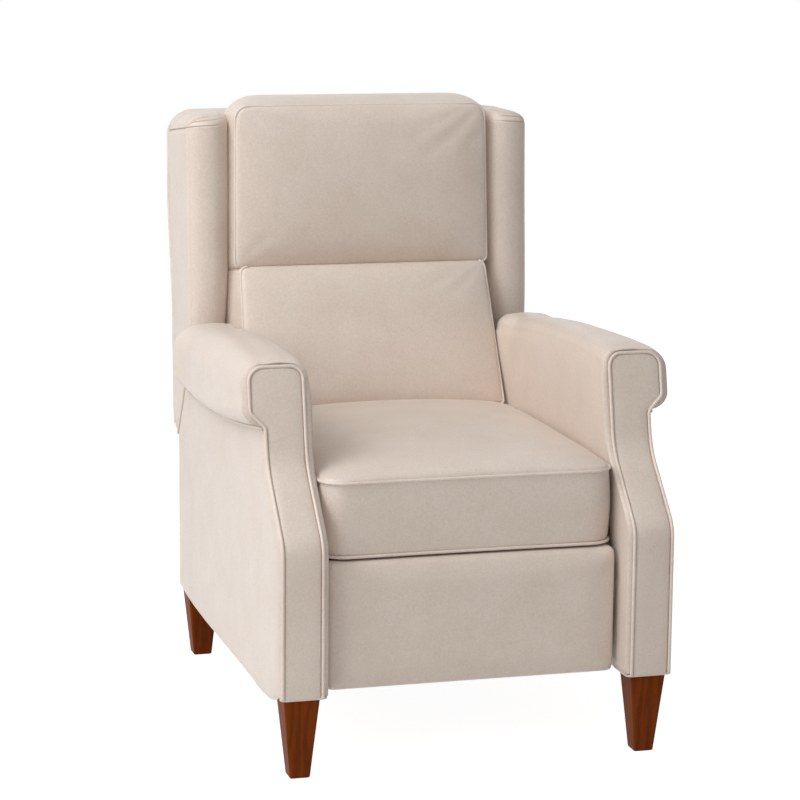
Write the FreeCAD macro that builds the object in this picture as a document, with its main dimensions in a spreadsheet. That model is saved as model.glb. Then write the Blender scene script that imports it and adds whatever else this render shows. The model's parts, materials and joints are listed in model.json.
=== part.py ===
"""Push-back wing recliner, in millimetres.

X runs across the chair, Y from front to back and Z up. The origin is on the floor, under the middle
of the chair. Left and right are as seen by someone who faces the chair, so left is -X.
Depths are measured back from the front of the arms and heights up from the floor.
"""
import FreeCAD, Part
import Sketcher
import math
import os
import re

os.makedirs("parts", exist_ok=True)
doc = FreeCAD.newDocument("recliner")

# Driving sizes, each written once
SIZES = {
    # the whole chair
    "front_reach": 502,            # from the origin forward to the front of the arms
    "base_half_width": 346,
    "base_depth": 848,
    "base_past_pivot": 88,
    "running_gap": 1,              # between steel parts that slide past each other
    "pin_clearance": 0.1,          # radial, in every pivot
    "overrun": 20,                 # how far a cutting shape passes the piece it cuts
    # legs
    "leg_height": 147,
    "leg_top_width": 64,
    "leg_foot_width": 35,
    "leg_side_inset": 36,
    "leg_front_inset": 37,
    "leg_rear_inset": 20,
    "leg_bolt_radius": 4,
    "leg_bolt_depth": 40,
    "leg_block_height": 18,
    "leg_block_length": 70,
    # arm boards and rails
    "arm_width": 73,
    "side_panel_thickness": 16,
    "arm_board_thickness": 22,
    "arm_board_drop": 95,
    "arm_board_inset": 12,
    "arm_post_depth": 90,
    "lining_above_pivot": 20,
    "rail_height": 75,
    "rail_side_gap": 10.5,
    "stretcher_setback": 24,
    "stretcher_thickness": 25,
    "stretcher_height": 60,
    "rear_rail_thickness": 24,
    "rear_rail_height": 120,
    "back_cover_thickness": 12,
    # side panel outline
    "hem_drop": 20,
    "hem_front_flat": 72,
    "hem_front_end": 96,
    "hem_rear_start": 600,
    "hem_rear_rise": 6,
    "notch_above_pivot": 47,
    "fold_front_drop": 111,
    "fold_rear_drop": 146,
    # arm front, an S-curve seen from the side
    "front_panel_thickness": 18,
    "knee_height": 385,
    "knee_radius": 50,
    "slope_angle": 45,
    "slope_length": 109,
    "upper_radius": 115,
    "upper_lean": 12,
    # arm front outline, seen from the front
    "arm_front_height": 695,
    "roll_overhang": 29,
    "neck_drop": 121,
    "neck_radius": 25,
    "roll_outer_radius": 28,
    "roll_inner_radius": 25,
    "welt_width": 7,
    "welt_proud": 3,
    "welt_seat": 4,
    # arm pad
    "arm_past_pivot": 12,
    "arm_swell": 7,
    "arm_top_fall": 35,
    "roll_under_rise": 36,
    # seat
    "seat_front": 54,
    "seat_side_gap": 8,
    "seat_bottom_height": 369,
    "seat_side_height": 131,
    "seat_crown": 40,
    "cushion_corner_radius": 28,
    "cushion_draw_in": 4,
    "cushion_crown_inset": 190,
    "welt_inset": 3,
    "deck_thickness": 9,
    "deck_side_inset": 10,
    "deck_setback": 5,
    "seat_rail_setback": 8,
    "seat_rail_past_seat": 5,
    "seat_rail_width": 25,
    "seat_rail_height": 40,
    "seat_rail_inset": 28,
    "plate_thickness": 4,
    "seat_plate_depth": 46,
    "spring_wire_radius": 1.9,
    "spring_side_gap": 21,
    "spring_bend_radius": 20,
    "spring_half_sweep": 24,
    "seat_spring_count": 5,
    "back_spring_count": 5,
    # pivots, by depth and height
    "seat_pivot_setback": 15,
    "seat_pivot_drop": 24,
    "back_pivot_setback": 75,
    "back_pivot_rise": 16,
    "pivot_boss_radius": 16,
    "pivot_pin_radius": 6,
    "pivot_head_radius": 9,
    "pivot_head_thickness": 3,
    "base_plate_ahead": 140,
    "base_plate_behind": 40,
    "screw_head_radius": 7,
    "screw_head_thickness": 3,
    # footrest linkage
    "link_length": 170,
    "link_start_angle": 12,
    "link_half_width": 11,
    "link_pin_radius": 5,
    "link_gap": 1.5,
    "footrest_pivot_setback": 34,
    "footrest_pivot_drop": 39,
    "slot_wall": 9,
    "cross_tube_radius": 12,
    "cross_tube_wall": 2,
    # footrest
    "footrest_front": 36,
    "footrest_side_inset": 1,
    "footrest_hem_drop": 5,
    "footrest_gap": 8,
    "footrest_pad_thickness": 45,
    "footrest_edge_radius": 18,
    "footrest_board_thickness": 15,
    "footrest_board_inset": 13,
    "bracket_flange": 27,
    "bracket_drop": 130,
    "bracket_rise": 15,
    "bracket_bolt_radius": 5,
    # back frame, measured in the leaning plane from the back pivot
    "back_lean": 12,
    "stile_front": 70,
    "stile_thickness": 40,
    "stile_width": 30,
    "frame_bottom": 100,
    "frame_top_gap": 12,
    "frame_rail_height": 45,
    "bracket_reach_low": 150,
    "bracket_reach_high": 260,
    # lumbar cushion, front welt by depth and height
    "lumbar_reach": 88,
    "lumbar_above_seat": 17,
    "lumbar_top_setback": 13,
    "lumbar_top_rise": 380,
    "lumbar_bottom_inset": 1,
    "lumbar_top_inset": 10,
    "lumbar_rear_bottom": 150,
    "lumbar_rear_top": 375,
    "lumbar_crown": 25,
    "lumbar_foot_radius": 12,
    # head cushion, the same way
    "head_bottom_setback": 24,
    "head_above_lumbar": 5,
    "head_top_setback": 39,
    "head_height": 304,
    "head_bottom_inset": 6,
    "head_top_inset": 16,
    "head_rear_setback": 172,
    "head_rear_rise": 4,
    "head_top_rise": 10,
    "head_crown": 26,
    "head_rear_radius": 58,
    "head_bulge": 3,
    "cushion_gap": 1,
    # wings
    "wing_side_inset": 10,
    "wing_low_gap": 2,
    "wing_high_inset": 2,
    "wing_seam_fall": 16,
    "wing_panel_thickness": 14,
    "wing_board_thickness": 18,
    "wing_roll_depth": 24,
    "wing_roll_recess": 45,
    "wing_bottom_rise": 171,
    "wing_mid_rise": 335,
    "wing_head_rise": 515,
    "wing_seam_rise": 643,
    "wing_cap_height": 29,
    "wing_bottom_setback": 42,
    "wing_mid_setback": 43,
    "wing_head_setback": 55,
    "wing_top_setback": 61,
    "wing_corner_radius": 45,
    # outer shell of the back
    "shell_gap": 5,                # between the sloping edges of the arm and of the shell
    "shell_thickness": 15,
    "shell_low_setback": 198,
    "shell_low_rise": 95,
    "shell_slack": 16.5,
    "shell_mid_rise": 294,
    "shell_high_rise": 487,
    "shell_top_drop": 3,
}

# Sizes that follow from the driving ones. Widths are reckoned inwards from the sides of the base,
# depths of the back from its pivot, and the heights around the seat from the seat's underside.
DERIVED = {
    "rail_gap_to_seat": "seat_half_width + rail_side_gap",
    "arm_face": "base_half_width - arm_width - arm_swell",
    "seat_half_width": "arm_face - seat_side_gap",
    "seat_plate_outer": "rail_gap_to_seat - plate_thickness - running_gap",
    "stile_outer": "seat_plate_outer - plate_thickness",
    "seat_rail_half_width": "seat_half_width - seat_rail_inset",
    "deck_half_width": "seat_half_width - deck_side_inset",
    "footrest_half_width": "seat_half_width - footrest_side_inset",
    "spring_pitch": "2 * (seat_rail_half_width - seat_rail_width - spring_half_sweep"
                    " - spring_side_gap) / (seat_spring_count - 1)",
    "lumbar_half_bottom": "seat_half_width - lumbar_bottom_inset",
    "lumbar_half_top": "seat_half_width - lumbar_top_inset",
    "head_half_bottom": "seat_half_width - head_bottom_inset",
    "head_half_top": "seat_half_width - head_top_inset",
    "wing_inner": "seat_half_width + wing_low_gap",
    "wing_inner_high": "seat_half_width - wing_high_inset",
    "wing_half_width": "base_half_width - wing_side_inset",
    "back_pivot_depth": "base_depth - base_past_pivot",
    "seat_rear": "back_pivot_depth - back_pivot_setback",
    "seat_pivot_depth": "seat_rear + seat_pivot_setback",
    "arm_length": "back_pivot_depth + arm_past_pivot",
    "seat_rail_rear": "seat_rear + seat_rail_past_seat",
    "base_plate_front": "seat_pivot_depth - base_plate_ahead",
    "base_plate_rear": "back_pivot_depth + base_plate_behind",
    "footrest_board_front": "footrest_front + footrest_pad_thickness",
    "footrest_board_rear": "footrest_board_front + footrest_board_thickness",
    "deck_front": "footrest_board_front + deck_setback",
    "seat_rail_front": "footrest_board_rear + seat_rail_setback",
    "footrest_pivot_depth": "footrest_board_rear + footrest_pivot_setback",
    "stretcher_depth": "footrest_pivot_depth + 2 * link_length * sin(link_start_angle)"
                       " + stretcher_setback",
    "seat_pivot_height": "seat_bottom_height - seat_pivot_drop",
    "footrest_pivot_height": "seat_bottom_height - footrest_pivot_drop",
    "footrest_top_height": "seat_bottom_height - footrest_gap",
    "footrest_bottom_height": "leg_height - footrest_hem_drop",
    "hem_rear_height": "leg_height + hem_rear_rise",
    "back_pivot_height": "seat_bottom_height + back_pivot_rise",
    "notch_height": "back_pivot_height + notch_above_pivot",
    "arm_lining_height": "back_pivot_height + lining_above_pivot",
    "fold_front_height": "arm_front_height - fold_front_drop",
    "fold_rear_height": "arm_front_height - fold_rear_drop",
    "arm_board_height": "arm_front_height - arm_board_drop",
    "neck_height": "arm_front_height - neck_drop",
    "lumbar_bottom_depth": "back_pivot_depth - lumbar_reach",
    "lumbar_bottom_height": "seat_bottom_height + seat_side_height + lumbar_above_seat",
    "lumbar_top_depth": "back_pivot_depth + lumbar_top_setback",
    "lumbar_top_height": "back_pivot_height + lumbar_top_rise",
    "head_bottom_depth": "back_pivot_depth + head_bottom_setback",
    "head_bottom_height": "lumbar_top_height + head_above_lumbar",
    "head_top_depth": "back_pivot_depth + head_top_setback",
    "head_top_height": "head_bottom_height + head_height",
    "head_rear_depth": "back_pivot_depth + head_rear_setback",
    "head_rear_height": "head_top_height + head_rear_rise",
    "wing_bottom_height": "back_pivot_height + wing_bottom_rise",
    "wing_mid_height": "back_pivot_height + wing_mid_rise",
    "wing_head_height": "back_pivot_height + wing_head_rise",
    "wing_seam_height": "back_pivot_height + wing_seam_rise",
    "wing_seam_rear_height": "wing_seam_height - wing_seam_fall",
    "wing_top_height": "wing_seam_height + wing_cap_height",
    "wing_bottom_seam": "back_pivot_depth + wing_bottom_setback",
    "wing_mid_seam": "back_pivot_depth + wing_mid_setback",
    "wing_head_seam": "back_pivot_depth + wing_head_setback",
    "wing_top_seam": "back_pivot_depth + wing_top_setback",
    "frame_rear": "stile_front + stile_thickness",
    "shell_bottom_height": "notch_height",
    "shell_low_depth": "back_pivot_depth + shell_low_setback",
    "shell_low_height": "back_pivot_height + shell_low_rise",
    "shell_mid_depth": "back_pivot_depth + (frame_rear + shell_slack) / cos(back_lean)"
                       " + shell_mid_rise * tan(back_lean) + shell_thickness",
    "shell_mid_height": "back_pivot_height + shell_mid_rise",
    "shell_high_depth": "back_pivot_depth + (frame_rear + shell_slack) / cos(back_lean)"
                        " + shell_high_rise * tan(back_lean) + shell_thickness",
    "shell_high_height": "back_pivot_height + shell_high_rise",
    "shell_top_height": "wing_top_height - shell_top_drop",
    "frame_top": "(shell_high_depth - back_pivot_depth - shell_thickness"
                 " - frame_rear * cos(back_lean)) / sin(back_lean) - frame_top_gap",
}

sheet = doc.addObject("Spreadsheet::Sheet", "Sizes")
for row, (alias, value) in enumerate(SIZES.items(), start=1):
    sheet.set(f"A{row}", str(value))
    sheet.setAlias(f"A{row}", alias)
doc.recompute()


def linked(text, sheet_name="Sizes."):
    """Write a formula the way an expression names the sheet's cells."""
    def cell(word):
        name = word.group()
        if name in SIZES:
            return sheet_name + name
        if name in DERIVED:
            return "(" + linked(DERIVED[name], sheet_name) + ")"
        return name
    return re.sub(r"[a-z_]+", cell, text)


def number(formula):
    """Value of a formula, worked out in a spare cell of the sheet."""
    sheet.set("C1", "=" + linked(formula, ""))
    doc.recompute([sheet])
    value = float(sheet.get("C1"))
    sheet.clear("C1")
    return value


class Values:
    """The sheet's numbers and those that follow from them, by name."""


size = Values()
for alias in SIZES:
    setattr(size, alias, float(sheet.get(alias)))
for alias in DERIVED:
    setattr(size, alias, number(alias))

ACROSS = FreeCAD.Vector(1, 0, 0)
BACKWARD = FreeCAD.Vector(0, 1, 0)
UPWARD = FreeCAD.Vector(0, 0, 1)
SIDES = (("left", -1), ("right", 1))
nodes = {}


def bind(piece, formulas):
    """Tie properties of a piece to the sheet."""
    for path, text in formulas.items():
        piece.setExpression(path, linked(text))
    return piece


def keep(label, piece):
    """Take a finished piece as a node, under its own label."""
    piece.Label = label
    nodes[label] = piece
    return piece


def box(name, x, y, z, length, width, height):
    """A block with its low corner at x, y, z; every value is a formula."""
    piece = doc.addObject("Part::Box", name)
    return bind(piece, {
        "Length": length,
        "Width": width,
        "Height": height,
        "Placement.Base.x": x,
        "Placement.Base.y": y,
        "Placement.Base.z": z,
    })


def rod(name, x, y, z, radius, length):
    """A round bar along X that starts at x."""
    piece = doc.addObject("Part::Cylinder", name)
    piece.Placement.Rotation = FreeCAD.Rotation(BACKWARD, 90)
    return bind(piece, {
        "Radius": radius,
        "Height": length,
        "Placement.Base.x": x,
        "Placement.Base.y": y,
        "Placement.Base.z": z,
    })


def upright(name, x, y, z, radius, length):
    """A round bar along Z that starts at z."""
    piece = doc.addObject("Part::Cylinder", name)
    return bind(piece, {
        "Radius": radius,
        "Height": length,
        "Placement.Base.x": x,
        "Placement.Base.y": y,
        "Placement.Base.z": z,
    })


def group(name, pieces):
    """Several separate solids in one object."""
    piece = doc.addObject("Part::Compound", name)
    piece.Links = pieces
    return piece


def fuse(name, pieces):
    piece = doc.addObject("Part::MultiFuse", name)
    piece.Shapes = pieces
    return piece


def cut(name, base, tool):
    piece = doc.addObject("Part::Cut", name)
    piece.Base = base
    piece.Tool = tool
    return piece


def feature(name, shape):
    """An object that holds a shape worked out from the sheet's numbers."""
    piece = doc.addObject("Part::Feature", name)
    piece.Shape = shape
    piece.Placement = FreeCAD.Placement()
    return piece


def from_inside(sign, inner, thickness):
    """Formula for the low X of a slab whose inner face is a distance from the middle."""
    if sign > 0:
        return inner
    return f"0 - ({inner}) - ({thickness})"


def depth(text):
    """Formula for the Y of a depth behind the front of the arms."""
    return f"({text}) - front_reach"


def point(depth_back, height, across=0):
    """Vector of a place given by its depth, its height and its distance across."""
    return FreeCAD.Vector(across, depth_back - size.front_reach, height)


def origin_plane(body, role):
    for plane in body.Origin.OriginFeatures:
        if plane.Role == role:
            return plane
    raise ValueError(role)


def side_sketch(body, name):
    """A sketch on the body's YZ plane: its own x is Y and its own y is Z."""
    sketch = body.newObject("Sketcher::SketchObject", name)
    sketch.AttachmentSupport = [(origin_plane(body, "YZ_Plane"), "")]
    sketch.MapMode = "FlatFace"
    return sketch


def pin_point(sketch, geometry, position, place, start):
    """Fix one sketch point by two distances from the origin, each tied to a formula."""
    for kind, formula, value in zip(("DistanceX", "DistanceY"), place, start):
        index = sketch.addConstraint(Sketcher.Constraint(kind, -1, 1, geometry, position, value))
        sketch.setExpression(f"Constraints[{index}]", linked(formula))


def add_holes(sketch, holes):
    for y, z, radius in holes:
        centre = FreeCAD.Vector(number(y), number(z), 0)
        start = number(radius)
        hole = sketch.addGeometry(Part.Circle(centre, UPWARD, start), False)
        pin_point(sketch, hole, 3, (y, z), (centre.x, centre.y))
        index = sketch.addConstraint(Sketcher.Constraint("Radius", hole, start))
        sketch.setExpression(f"Constraints[{index}]", linked(radius))


def pad_across(body, sketch, low, thickness):
    """Pad a side sketch along X and put its low face at the X that low gives."""
    pad = body.newObject("PartDesign::Pad", body.Name + "_pad")
    pad.Profile = sketch
    pad.setExpression("Length", linked(thickness))
    body.Tip = pad
    return bind(body, {"Placement.Base.x": low})


def board(name, corners, holes, low, thickness):
    """A flat board or plate, its outline given by the (y, z) formulas of its corners."""
    body = doc.addObject("PartDesign::Body", name)
    sketch = side_sketch(body, name + "_outline")
    places = [FreeCAD.Vector(number(y), number(z), 0) for y, z in corners]
    lines = []
    for here, after in zip(places, places[1:] + places[:1]):
        lines.append(sketch.addGeometry(Part.LineSegment(here, after), False))
    for line, after in zip(lines, lines[1:] + lines[:1]):
        sketch.addConstraint(Sketcher.Constraint("Coincident", line, 2, after, 1))
    for line, corner, place in zip(lines, corners, places):
        pin_point(sketch, line, 1, corner, (place.x, place.y))
    add_holes(sketch, holes)
    return pad_across(body, sketch, low, thickness)


def link(name, ends, low, holes):
    """A flat steel link with round ends, drawn as a slot between two pivots."""
    body = doc.addObject("PartDesign::Body", name)
    sketch = side_sketch(body, name + "_outline")
    first, second = [FreeCAD.Vector(number(y), number(z), 0) for y, z in ends]
    half = size.link_half_width
    along = (second - first).normalize()
    beside = FreeCAD.Vector(-along.y, along.x, 0) * half
    turn = math.atan2(beside.y, beside.x)
    start = Part.ArcOfCircle(Part.Circle(first, UPWARD, half), turn, turn + math.pi)
    end = Part.ArcOfCircle(Part.Circle(second, UPWARD, half), turn - math.pi, turn)
    arc_one = sketch.addGeometry(start, False)
    arc_two = sketch.addGeometry(end, False)
    left = sketch.addGeometry(Part.LineSegment(second + beside, first + beside), False)
    right = sketch.addGeometry(Part.LineSegment(first - beside, second - beside), False)
    sketch.addConstraint([
        Sketcher.Constraint("Tangent", left, 2, arc_one, 1),
        Sketcher.Constraint("Tangent", arc_one, 2, right, 1),
        Sketcher.Constraint("Tangent", right, 2, arc_two, 1),
        Sketcher.Constraint("Tangent", arc_two, 2, left, 1),
        Sketcher.Constraint("Equal", arc_one, arc_two),
    ])
    pin_point(sketch, arc_one, 3, ends[0], (first.x, first.y))
    pin_point(sketch, arc_two, 3, ends[1], (second.x, second.y))
    index = sketch.addConstraint(Sketcher.Constraint("Radius", arc_one, half))
    sketch.setExpression(f"Constraints[{index}]", linked("link_half_width"))
    add_holes(sketch, holes)
    return pad_across(body, sketch, low, "plate_thickness")


def leaned(across, normal, along):
    """Formulas for X, Y and Z of a place given in the leaning plane of the back."""
    y = f"back_pivot_depth - front_reach + ({normal}) * cos(back_lean) + ({along}) * sin(back_lean)"
    z = f"back_pivot_height - ({normal}) * sin(back_lean) + ({along}) * cos(back_lean)"
    return across, y, z


def leaned_box(name, across, normal, along, length, thickness, height):
    """A block that leans back with the frame of the back."""
    piece = doc.addObject("Part::Box", name)
    piece.Placement.Rotation = FreeCAD.Rotation(-ACROSS, size.back_lean)
    x, y, z = leaned(across, normal, along)
    return bind(piece, {
        "Length": length,
        "Width": thickness,
        "Height": height,
        "Placement.Rotation.Angle": "back_lean",
        "Placement.Base.x": x,
        "Placement.Base.y": y,
        "Placement.Base.z": z,
    })


def leaned_point(normal, along, across=0):
    """Vector of a place given in the leaning plane of the back."""
    lean = math.radians(size.back_lean)
    y = size.back_pivot_depth + normal * math.cos(lean) + along * math.sin(lean)
    z = size.back_pivot_height - normal * math.sin(lean) + along * math.cos(lean)
    return point(y, z, across)


def mirrored(shape, sign):
    """A shape made for the right side, or its mirror image for the left."""
    if sign > 0:
        return shape
    return shape.mirror(FreeCAD.Vector(), ACROSS)


def through(*places):
    """Arc through three places."""
    return Part.Arc(*places).toShape()


def straight(start, end):
    return Part.LineSegment(start, end).toShape()


def prism(wire, direction):
    return Part.Face(wire).extrude(direction)


# Curve of the arm front, seen from the side
def turned(angle, radius):
    """Depth and height gained along an arc from upright, by its angle and radius."""
    turn = math.radians(angle)
    return radius * (1 - math.cos(turn)), radius * math.sin(turn)


def arm_front_curve(setback):
    """Edges of the S-curve, moved back by a depth, with the places where it starts and ends."""
    low = -size.overrun
    high = size.arm_front_height + size.overrun
    knee = point(setback, size.knee_height)
    half_turn = turned(size.slope_angle / 2, size.knee_radius)
    full_turn = turned(size.slope_angle, size.knee_radius)
    knee_middle = knee + FreeCAD.Vector(0, *half_turn)
    knee_end = knee + FreeCAD.Vector(0, *full_turn)
    slope = math.radians(size.slope_angle)
    run = FreeCAD.Vector(0, math.sin(slope), math.cos(slope)) * size.slope_length
    upper_start = knee_end + run
    middle_angle = (size.slope_angle + size.upper_lean) / 2
    whole = turned(size.slope_angle, size.upper_radius)
    middle = turned(middle_angle, size.upper_radius)
    last = turned(size.upper_lean, size.upper_radius)
    upper_middle = upper_start + FreeCAD.Vector(0, whole[0] - middle[0], whole[1] - middle[1])
    upper_end = upper_start + FreeCAD.Vector(0, whole[0] - last[0], whole[1] - last[1])
    lean = math.radians(size.upper_lean)
    rise = high - upper_end.z
    top = upper_end + FreeCAD.Vector(0, math.tan(lean) * rise, rise)
    bottom = point(setback, low)
    edges = [
        straight(bottom, knee),
        through(knee, knee_middle, knee_end),
        straight(knee_end, upper_start),
        through(upper_start, upper_middle, upper_end),
        straight(upper_end, top),
    ]
    return edges, bottom, top


def ahead_of_front(setback):
    """Everything in front of the S-curve moved back by a depth, as a solid."""
    edges, bottom, top = arm_front_curve(setback)
    reach = size.overrun + size.knee_radius
    ahead_top = FreeCAD.Vector(0, -size.front_reach - reach, top.z)
    ahead_bottom = FreeCAD.Vector(0, -size.front_reach - reach, bottom.z)
    edges += [straight(top, ahead_top), straight(ahead_top, ahead_bottom)]
    edges.append(straight(ahead_bottom, bottom))
    half = size.base_half_width + size.roll_overhang * 2
    solid = prism(Part.Wire(edges), ACROSS * (2 * half))
    solid.translate(-ACROSS * half)
    return solid


def front_slab(front, rear):
    """The slice between two copies of the S-curve."""
    return ahead_of_front(rear).cut(ahead_of_front(front))


arm_inner = size.base_half_width - size.arm_width
board_outer = size.base_half_width - size.side_panel_thickness
board_inner = board_outer - size.arm_board_thickness
behind_front_panel = ahead_of_front(size.front_panel_thickness)



def half_in_front(sign):
    """The space taken by the arm front on one side only."""
    reach = size.base_half_width + size.roll_overhang * 2
    low = reach if sign < 0 else 0
    high = 2 * size.arm_length
    half = Part.makeBox(reach, high, high, FreeCAD.Vector(-low, -high, -size.overrun))
    return behind_front_panel.common(half)


# Legs, tapered square in section, with the blocks and bolts that hold them
LEG_X = "base_half_width - leg_side_inset"
LEG_DEPTHS = {
    "front": "leg_front_inset",
    "rear": "base_depth - leg_rear_inset",
}
RAIL_BOTTOM = "leg_height + leg_block_height"
leg_bolts = []
leg_blocks = []
for end, inset in LEG_DEPTHS.items():
    for side, sign in SIDES:
        name = f"{end}_{side}_leg"
        x = LEG_X if sign > 0 else f"0 - ({LEG_X})"
        taper = doc.addObject("Part::Wedge", name + "_taper")
        taper.Placement.Rotation = FreeCAD.Rotation(ACROSS, 90)
        bind(taper, {
            "Xmin": "0 - leg_foot_width / 2",
            "Xmax": "leg_foot_width / 2",
            "Zmin": "0 - leg_foot_width / 2",
            "Zmax": "leg_foot_width / 2",
            "X2min": "0 - leg_top_width / 2",
            "X2max": "leg_top_width / 2",
            "Z2min": "0 - leg_top_width / 2",
            "Z2max": "leg_top_width / 2",
            "Ymin": "0",
            "Ymax": "leg_height",
            "Placement.Base.x": x,
            "Placement.Base.y": depth(inset),
        })
        bore = upright(name + "_bore", x, depth(inset), "leg_height - leg_bolt_depth",
                       "leg_bolt_radius + pin_clearance", "leg_bolt_depth + overrun")
        keep(name, cut(name, taper, bore))
        leg_bolts.append(upright(name + "_bolt", x, depth(inset), "leg_height - leg_bolt_depth",
                                 "leg_bolt_radius", "leg_bolt_depth + leg_block_height"))
        inner = "base_half_width - arm_width + cushion_gap"
        length = "arm_width - side_panel_thickness - cushion_gap"
        block = box(name + "_block", from_inside(sign, inner, length),
                    depth(f"{inset} - leg_block_length / 2 + leg_rear_inset" if end == "front"
                          else "base_depth - back_cover_thickness - leg_block_length"),
                    "leg_height", length, "leg_block_length", "leg_block_height")
        block_bore = upright(name + "_block_bore", x, depth(inset), "leg_height - overrun",
                             "leg_bolt_radius + pin_clearance", "leg_block_height + 2 * overrun")
        leg_blocks.append(cut(name + "_block_bored", block, block_bore))
keep("leg_bolts", group("leg_bolts", leg_bolts))
keep("leg_blocks", group("leg_blocks", leg_blocks))

# Hardwood rails between the arms
BOARD_OUTER = "base_half_width - side_panel_thickness"
BOARD_INNER = f"{BOARD_OUTER} - arm_board_thickness"
REAR_FACE = "base_depth - back_cover_thickness"
for side, sign in SIDES:
    width = f"{BOARD_INNER} - rail_gap_to_seat"
    keep(f"{side}_base_rail", box(
        f"{side}_base_rail", from_inside(sign, "rail_gap_to_seat", width),
        depth("arm_post_depth"), RAIL_BOTTOM, width,
        f"{REAR_FACE} - rear_rail_thickness - arm_post_depth", "rail_height"))
keep("front_stretcher", box(
    "front_stretcher", "0 - rail_gap_to_seat", depth("stretcher_depth"), RAIL_BOTTOM,
    "2 * rail_gap_to_seat", "stretcher_thickness", "stretcher_height"))
keep("rear_rail", box(
    "rear_rail", f"0 - ({BOARD_INNER})", depth(f"{REAR_FACE} - rear_rail_thickness"), RAIL_BOTTOM,
    f"2 * ({BOARD_INNER})", "rear_rail_thickness", "rear_rail_height"))
keep("base_back_panel", box(
    "base_back_panel", f"0 - ({BOARD_OUTER})", depth(REAR_FACE), "hem_rear_height",
    f"2 * ({BOARD_OUTER})", "back_cover_thickness", "back_pivot_height - hem_rear_height"))

# Arm boards, each a plywood side with a hardwood post glued on at the front
for side, sign in SIDES:
    corners = [
        (depth("0"), RAIL_BOTTOM),
        (depth("base_depth - arm_board_inset"), RAIL_BOTTOM),
        (depth("base_depth - arm_board_inset"), "notch_height - arm_board_inset / 2"),
        (depth("arm_length - arm_board_inset"), "fold_rear_height - arm_board_inset / 2"),
        (depth("arm_length - arm_board_inset"), "arm_board_height"),
        (depth("0"), "arm_board_height"),
    ]
    low = from_inside(sign, BOARD_INNER, "arm_board_thickness")
    blank = board(f"{side}_arm_blank", corners, [], low, "arm_board_thickness")
    width = f"{BOARD_INNER} - base_half_width + arm_width"
    post = box(f"{side}_arm_post", from_inside(sign, "base_half_width - arm_width", width),
               depth("0"), RAIL_BOTTOM, width, "arm_post_depth",
               "arm_lining_height - leg_height - leg_block_height")
    joined = fuse(f"{side}_arm_joined", [blank, post])
    cutter = feature(f"{side}_arm_frame_front", half_in_front(sign))
    keep(f"{side}_arm_frame", cut(f"{side}_arm_frame", joined, cutter))

# Stations along the arm, from the front: share of its length, of the roll's overhang,
# of the drop of the fold line, of the fall of the top, of the inner swell and of the outer radius
ARM_STATION_SHARES = (
    (0.0, 1.0, 1.0, 0.0, 1.0, 1.1),
    (0.155, 1.0, 1.0, -0.11, 1.0, 1.3),
    (0.3, 1.12, 0.45, -0.2, 1.0, 1.8),
    (0.453, 1.24, 0.03, -0.2, 1.0, 2.2),
    (0.65, 1.21, 0.0, 0.11, 1.0, 2.3),
    (0.84, 0.98, 0.0, 0.69, 0.9, 2.0),
    (0.985, 0.84, 0.0, 1.06, 0.7, 1.6),
    (1.0, 0.5, 0.0, 1.29, -0.4, 1.4),
)


def arm_section(length_share, overhang_share, fold_share, fall_share, swell_share, round_share):
    """Cross-section of the arm pad: the roll on top and the lining inside, round the board."""
    back = size.arm_length * length_share
    outer = size.base_half_width + size.roll_overhang * overhang_share
    fold_drop = size.fold_front_height - size.fold_rear_height
    fold = size.fold_rear_height + fold_drop * fold_share
    top = size.arm_front_height - size.arm_top_fall * fall_share
    inner = arm_inner - size.arm_swell * swell_share
    round_in = size.roll_inner_radius
    round_out = size.roll_outer_radius * round_share
    bend = 1 - math.sqrt(0.5)
    under = fold + size.roll_under_rise
    low = size.arm_lining_height

    def at(across, height):
        return point(back, height, across)

    return Part.Wire([
        straight(at(inner, low), at(inner, top - round_in)),
        through(at(inner, top - round_in),
                at(inner + round_in * bend, top - round_in * bend),
                at(inner + round_in, top)),
        straight(at(inner + round_in, top), at(outer - round_out, top)),
        through(at(outer - round_out, top),
                at(outer - round_out * bend, top - round_out * bend),
                at(outer, top - round_out)),
        straight(at(outer, top - round_out), at(outer, under)),
        through(at(outer, under),
                at(outer - (outer - size.base_half_width) * bend, fold + size.roll_under_rise * bend),
                at(size.base_half_width, fold)),
        straight(at(size.base_half_width, fold), at(board_outer, fold)),
        straight(at(board_outer, fold), at(board_outer, size.arm_board_height)),
        straight(at(board_outer, size.arm_board_height), at(board_inner, size.arm_board_height)),
        straight(at(board_inner, size.arm_board_height), at(board_inner, low)),
        straight(at(board_inner, low), at(inner, low)),
    ])


arm_pad = Part.makeLoft([arm_section(*shares) for shares in ARM_STATION_SHARES], True, True)
lining = Part.makeBox(size.arm_swell, size.arm_post_depth,
                      size.arm_lining_height - size.hem_rear_height,
                      point(0, size.hem_rear_height, arm_inner - size.arm_swell))
arm_pad = arm_pad.fuse(lining).cut(half_in_front(1)).removeSplitter()
for side, sign in SIDES:
    keep(f"{side}_arm_pad", feature(f"{side}_arm_pad", mirrored(arm_pad, sign)))


def side_panel_shape():
    """Padded side of the arm, from the bottom hem to the fold under the roll."""
    hem = size.leg_height - size.hem_drop
    corners = [
        point(0, size.leg_height),
        point(size.hem_front_flat, size.leg_height),
        point(size.hem_front_end, hem),
        point(size.hem_rear_start, hem),
        point(size.base_depth, size.hem_rear_height),
        point(size.base_depth, size.notch_height),
    ]
    fold_drop = size.fold_front_height - size.fold_rear_height
    for shares in reversed(ARM_STATION_SHARES):
        height = size.fold_rear_height + fold_drop * shares[2]
        corners.append(point(size.arm_length * shares[0], height))
    wire = Part.makePolygon(corners + corners[:1])
    solid = prism(wire, ACROSS * size.side_panel_thickness)
    solid.translate(ACROSS * board_outer)
    return solid.cut(behind_front_panel)


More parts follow.
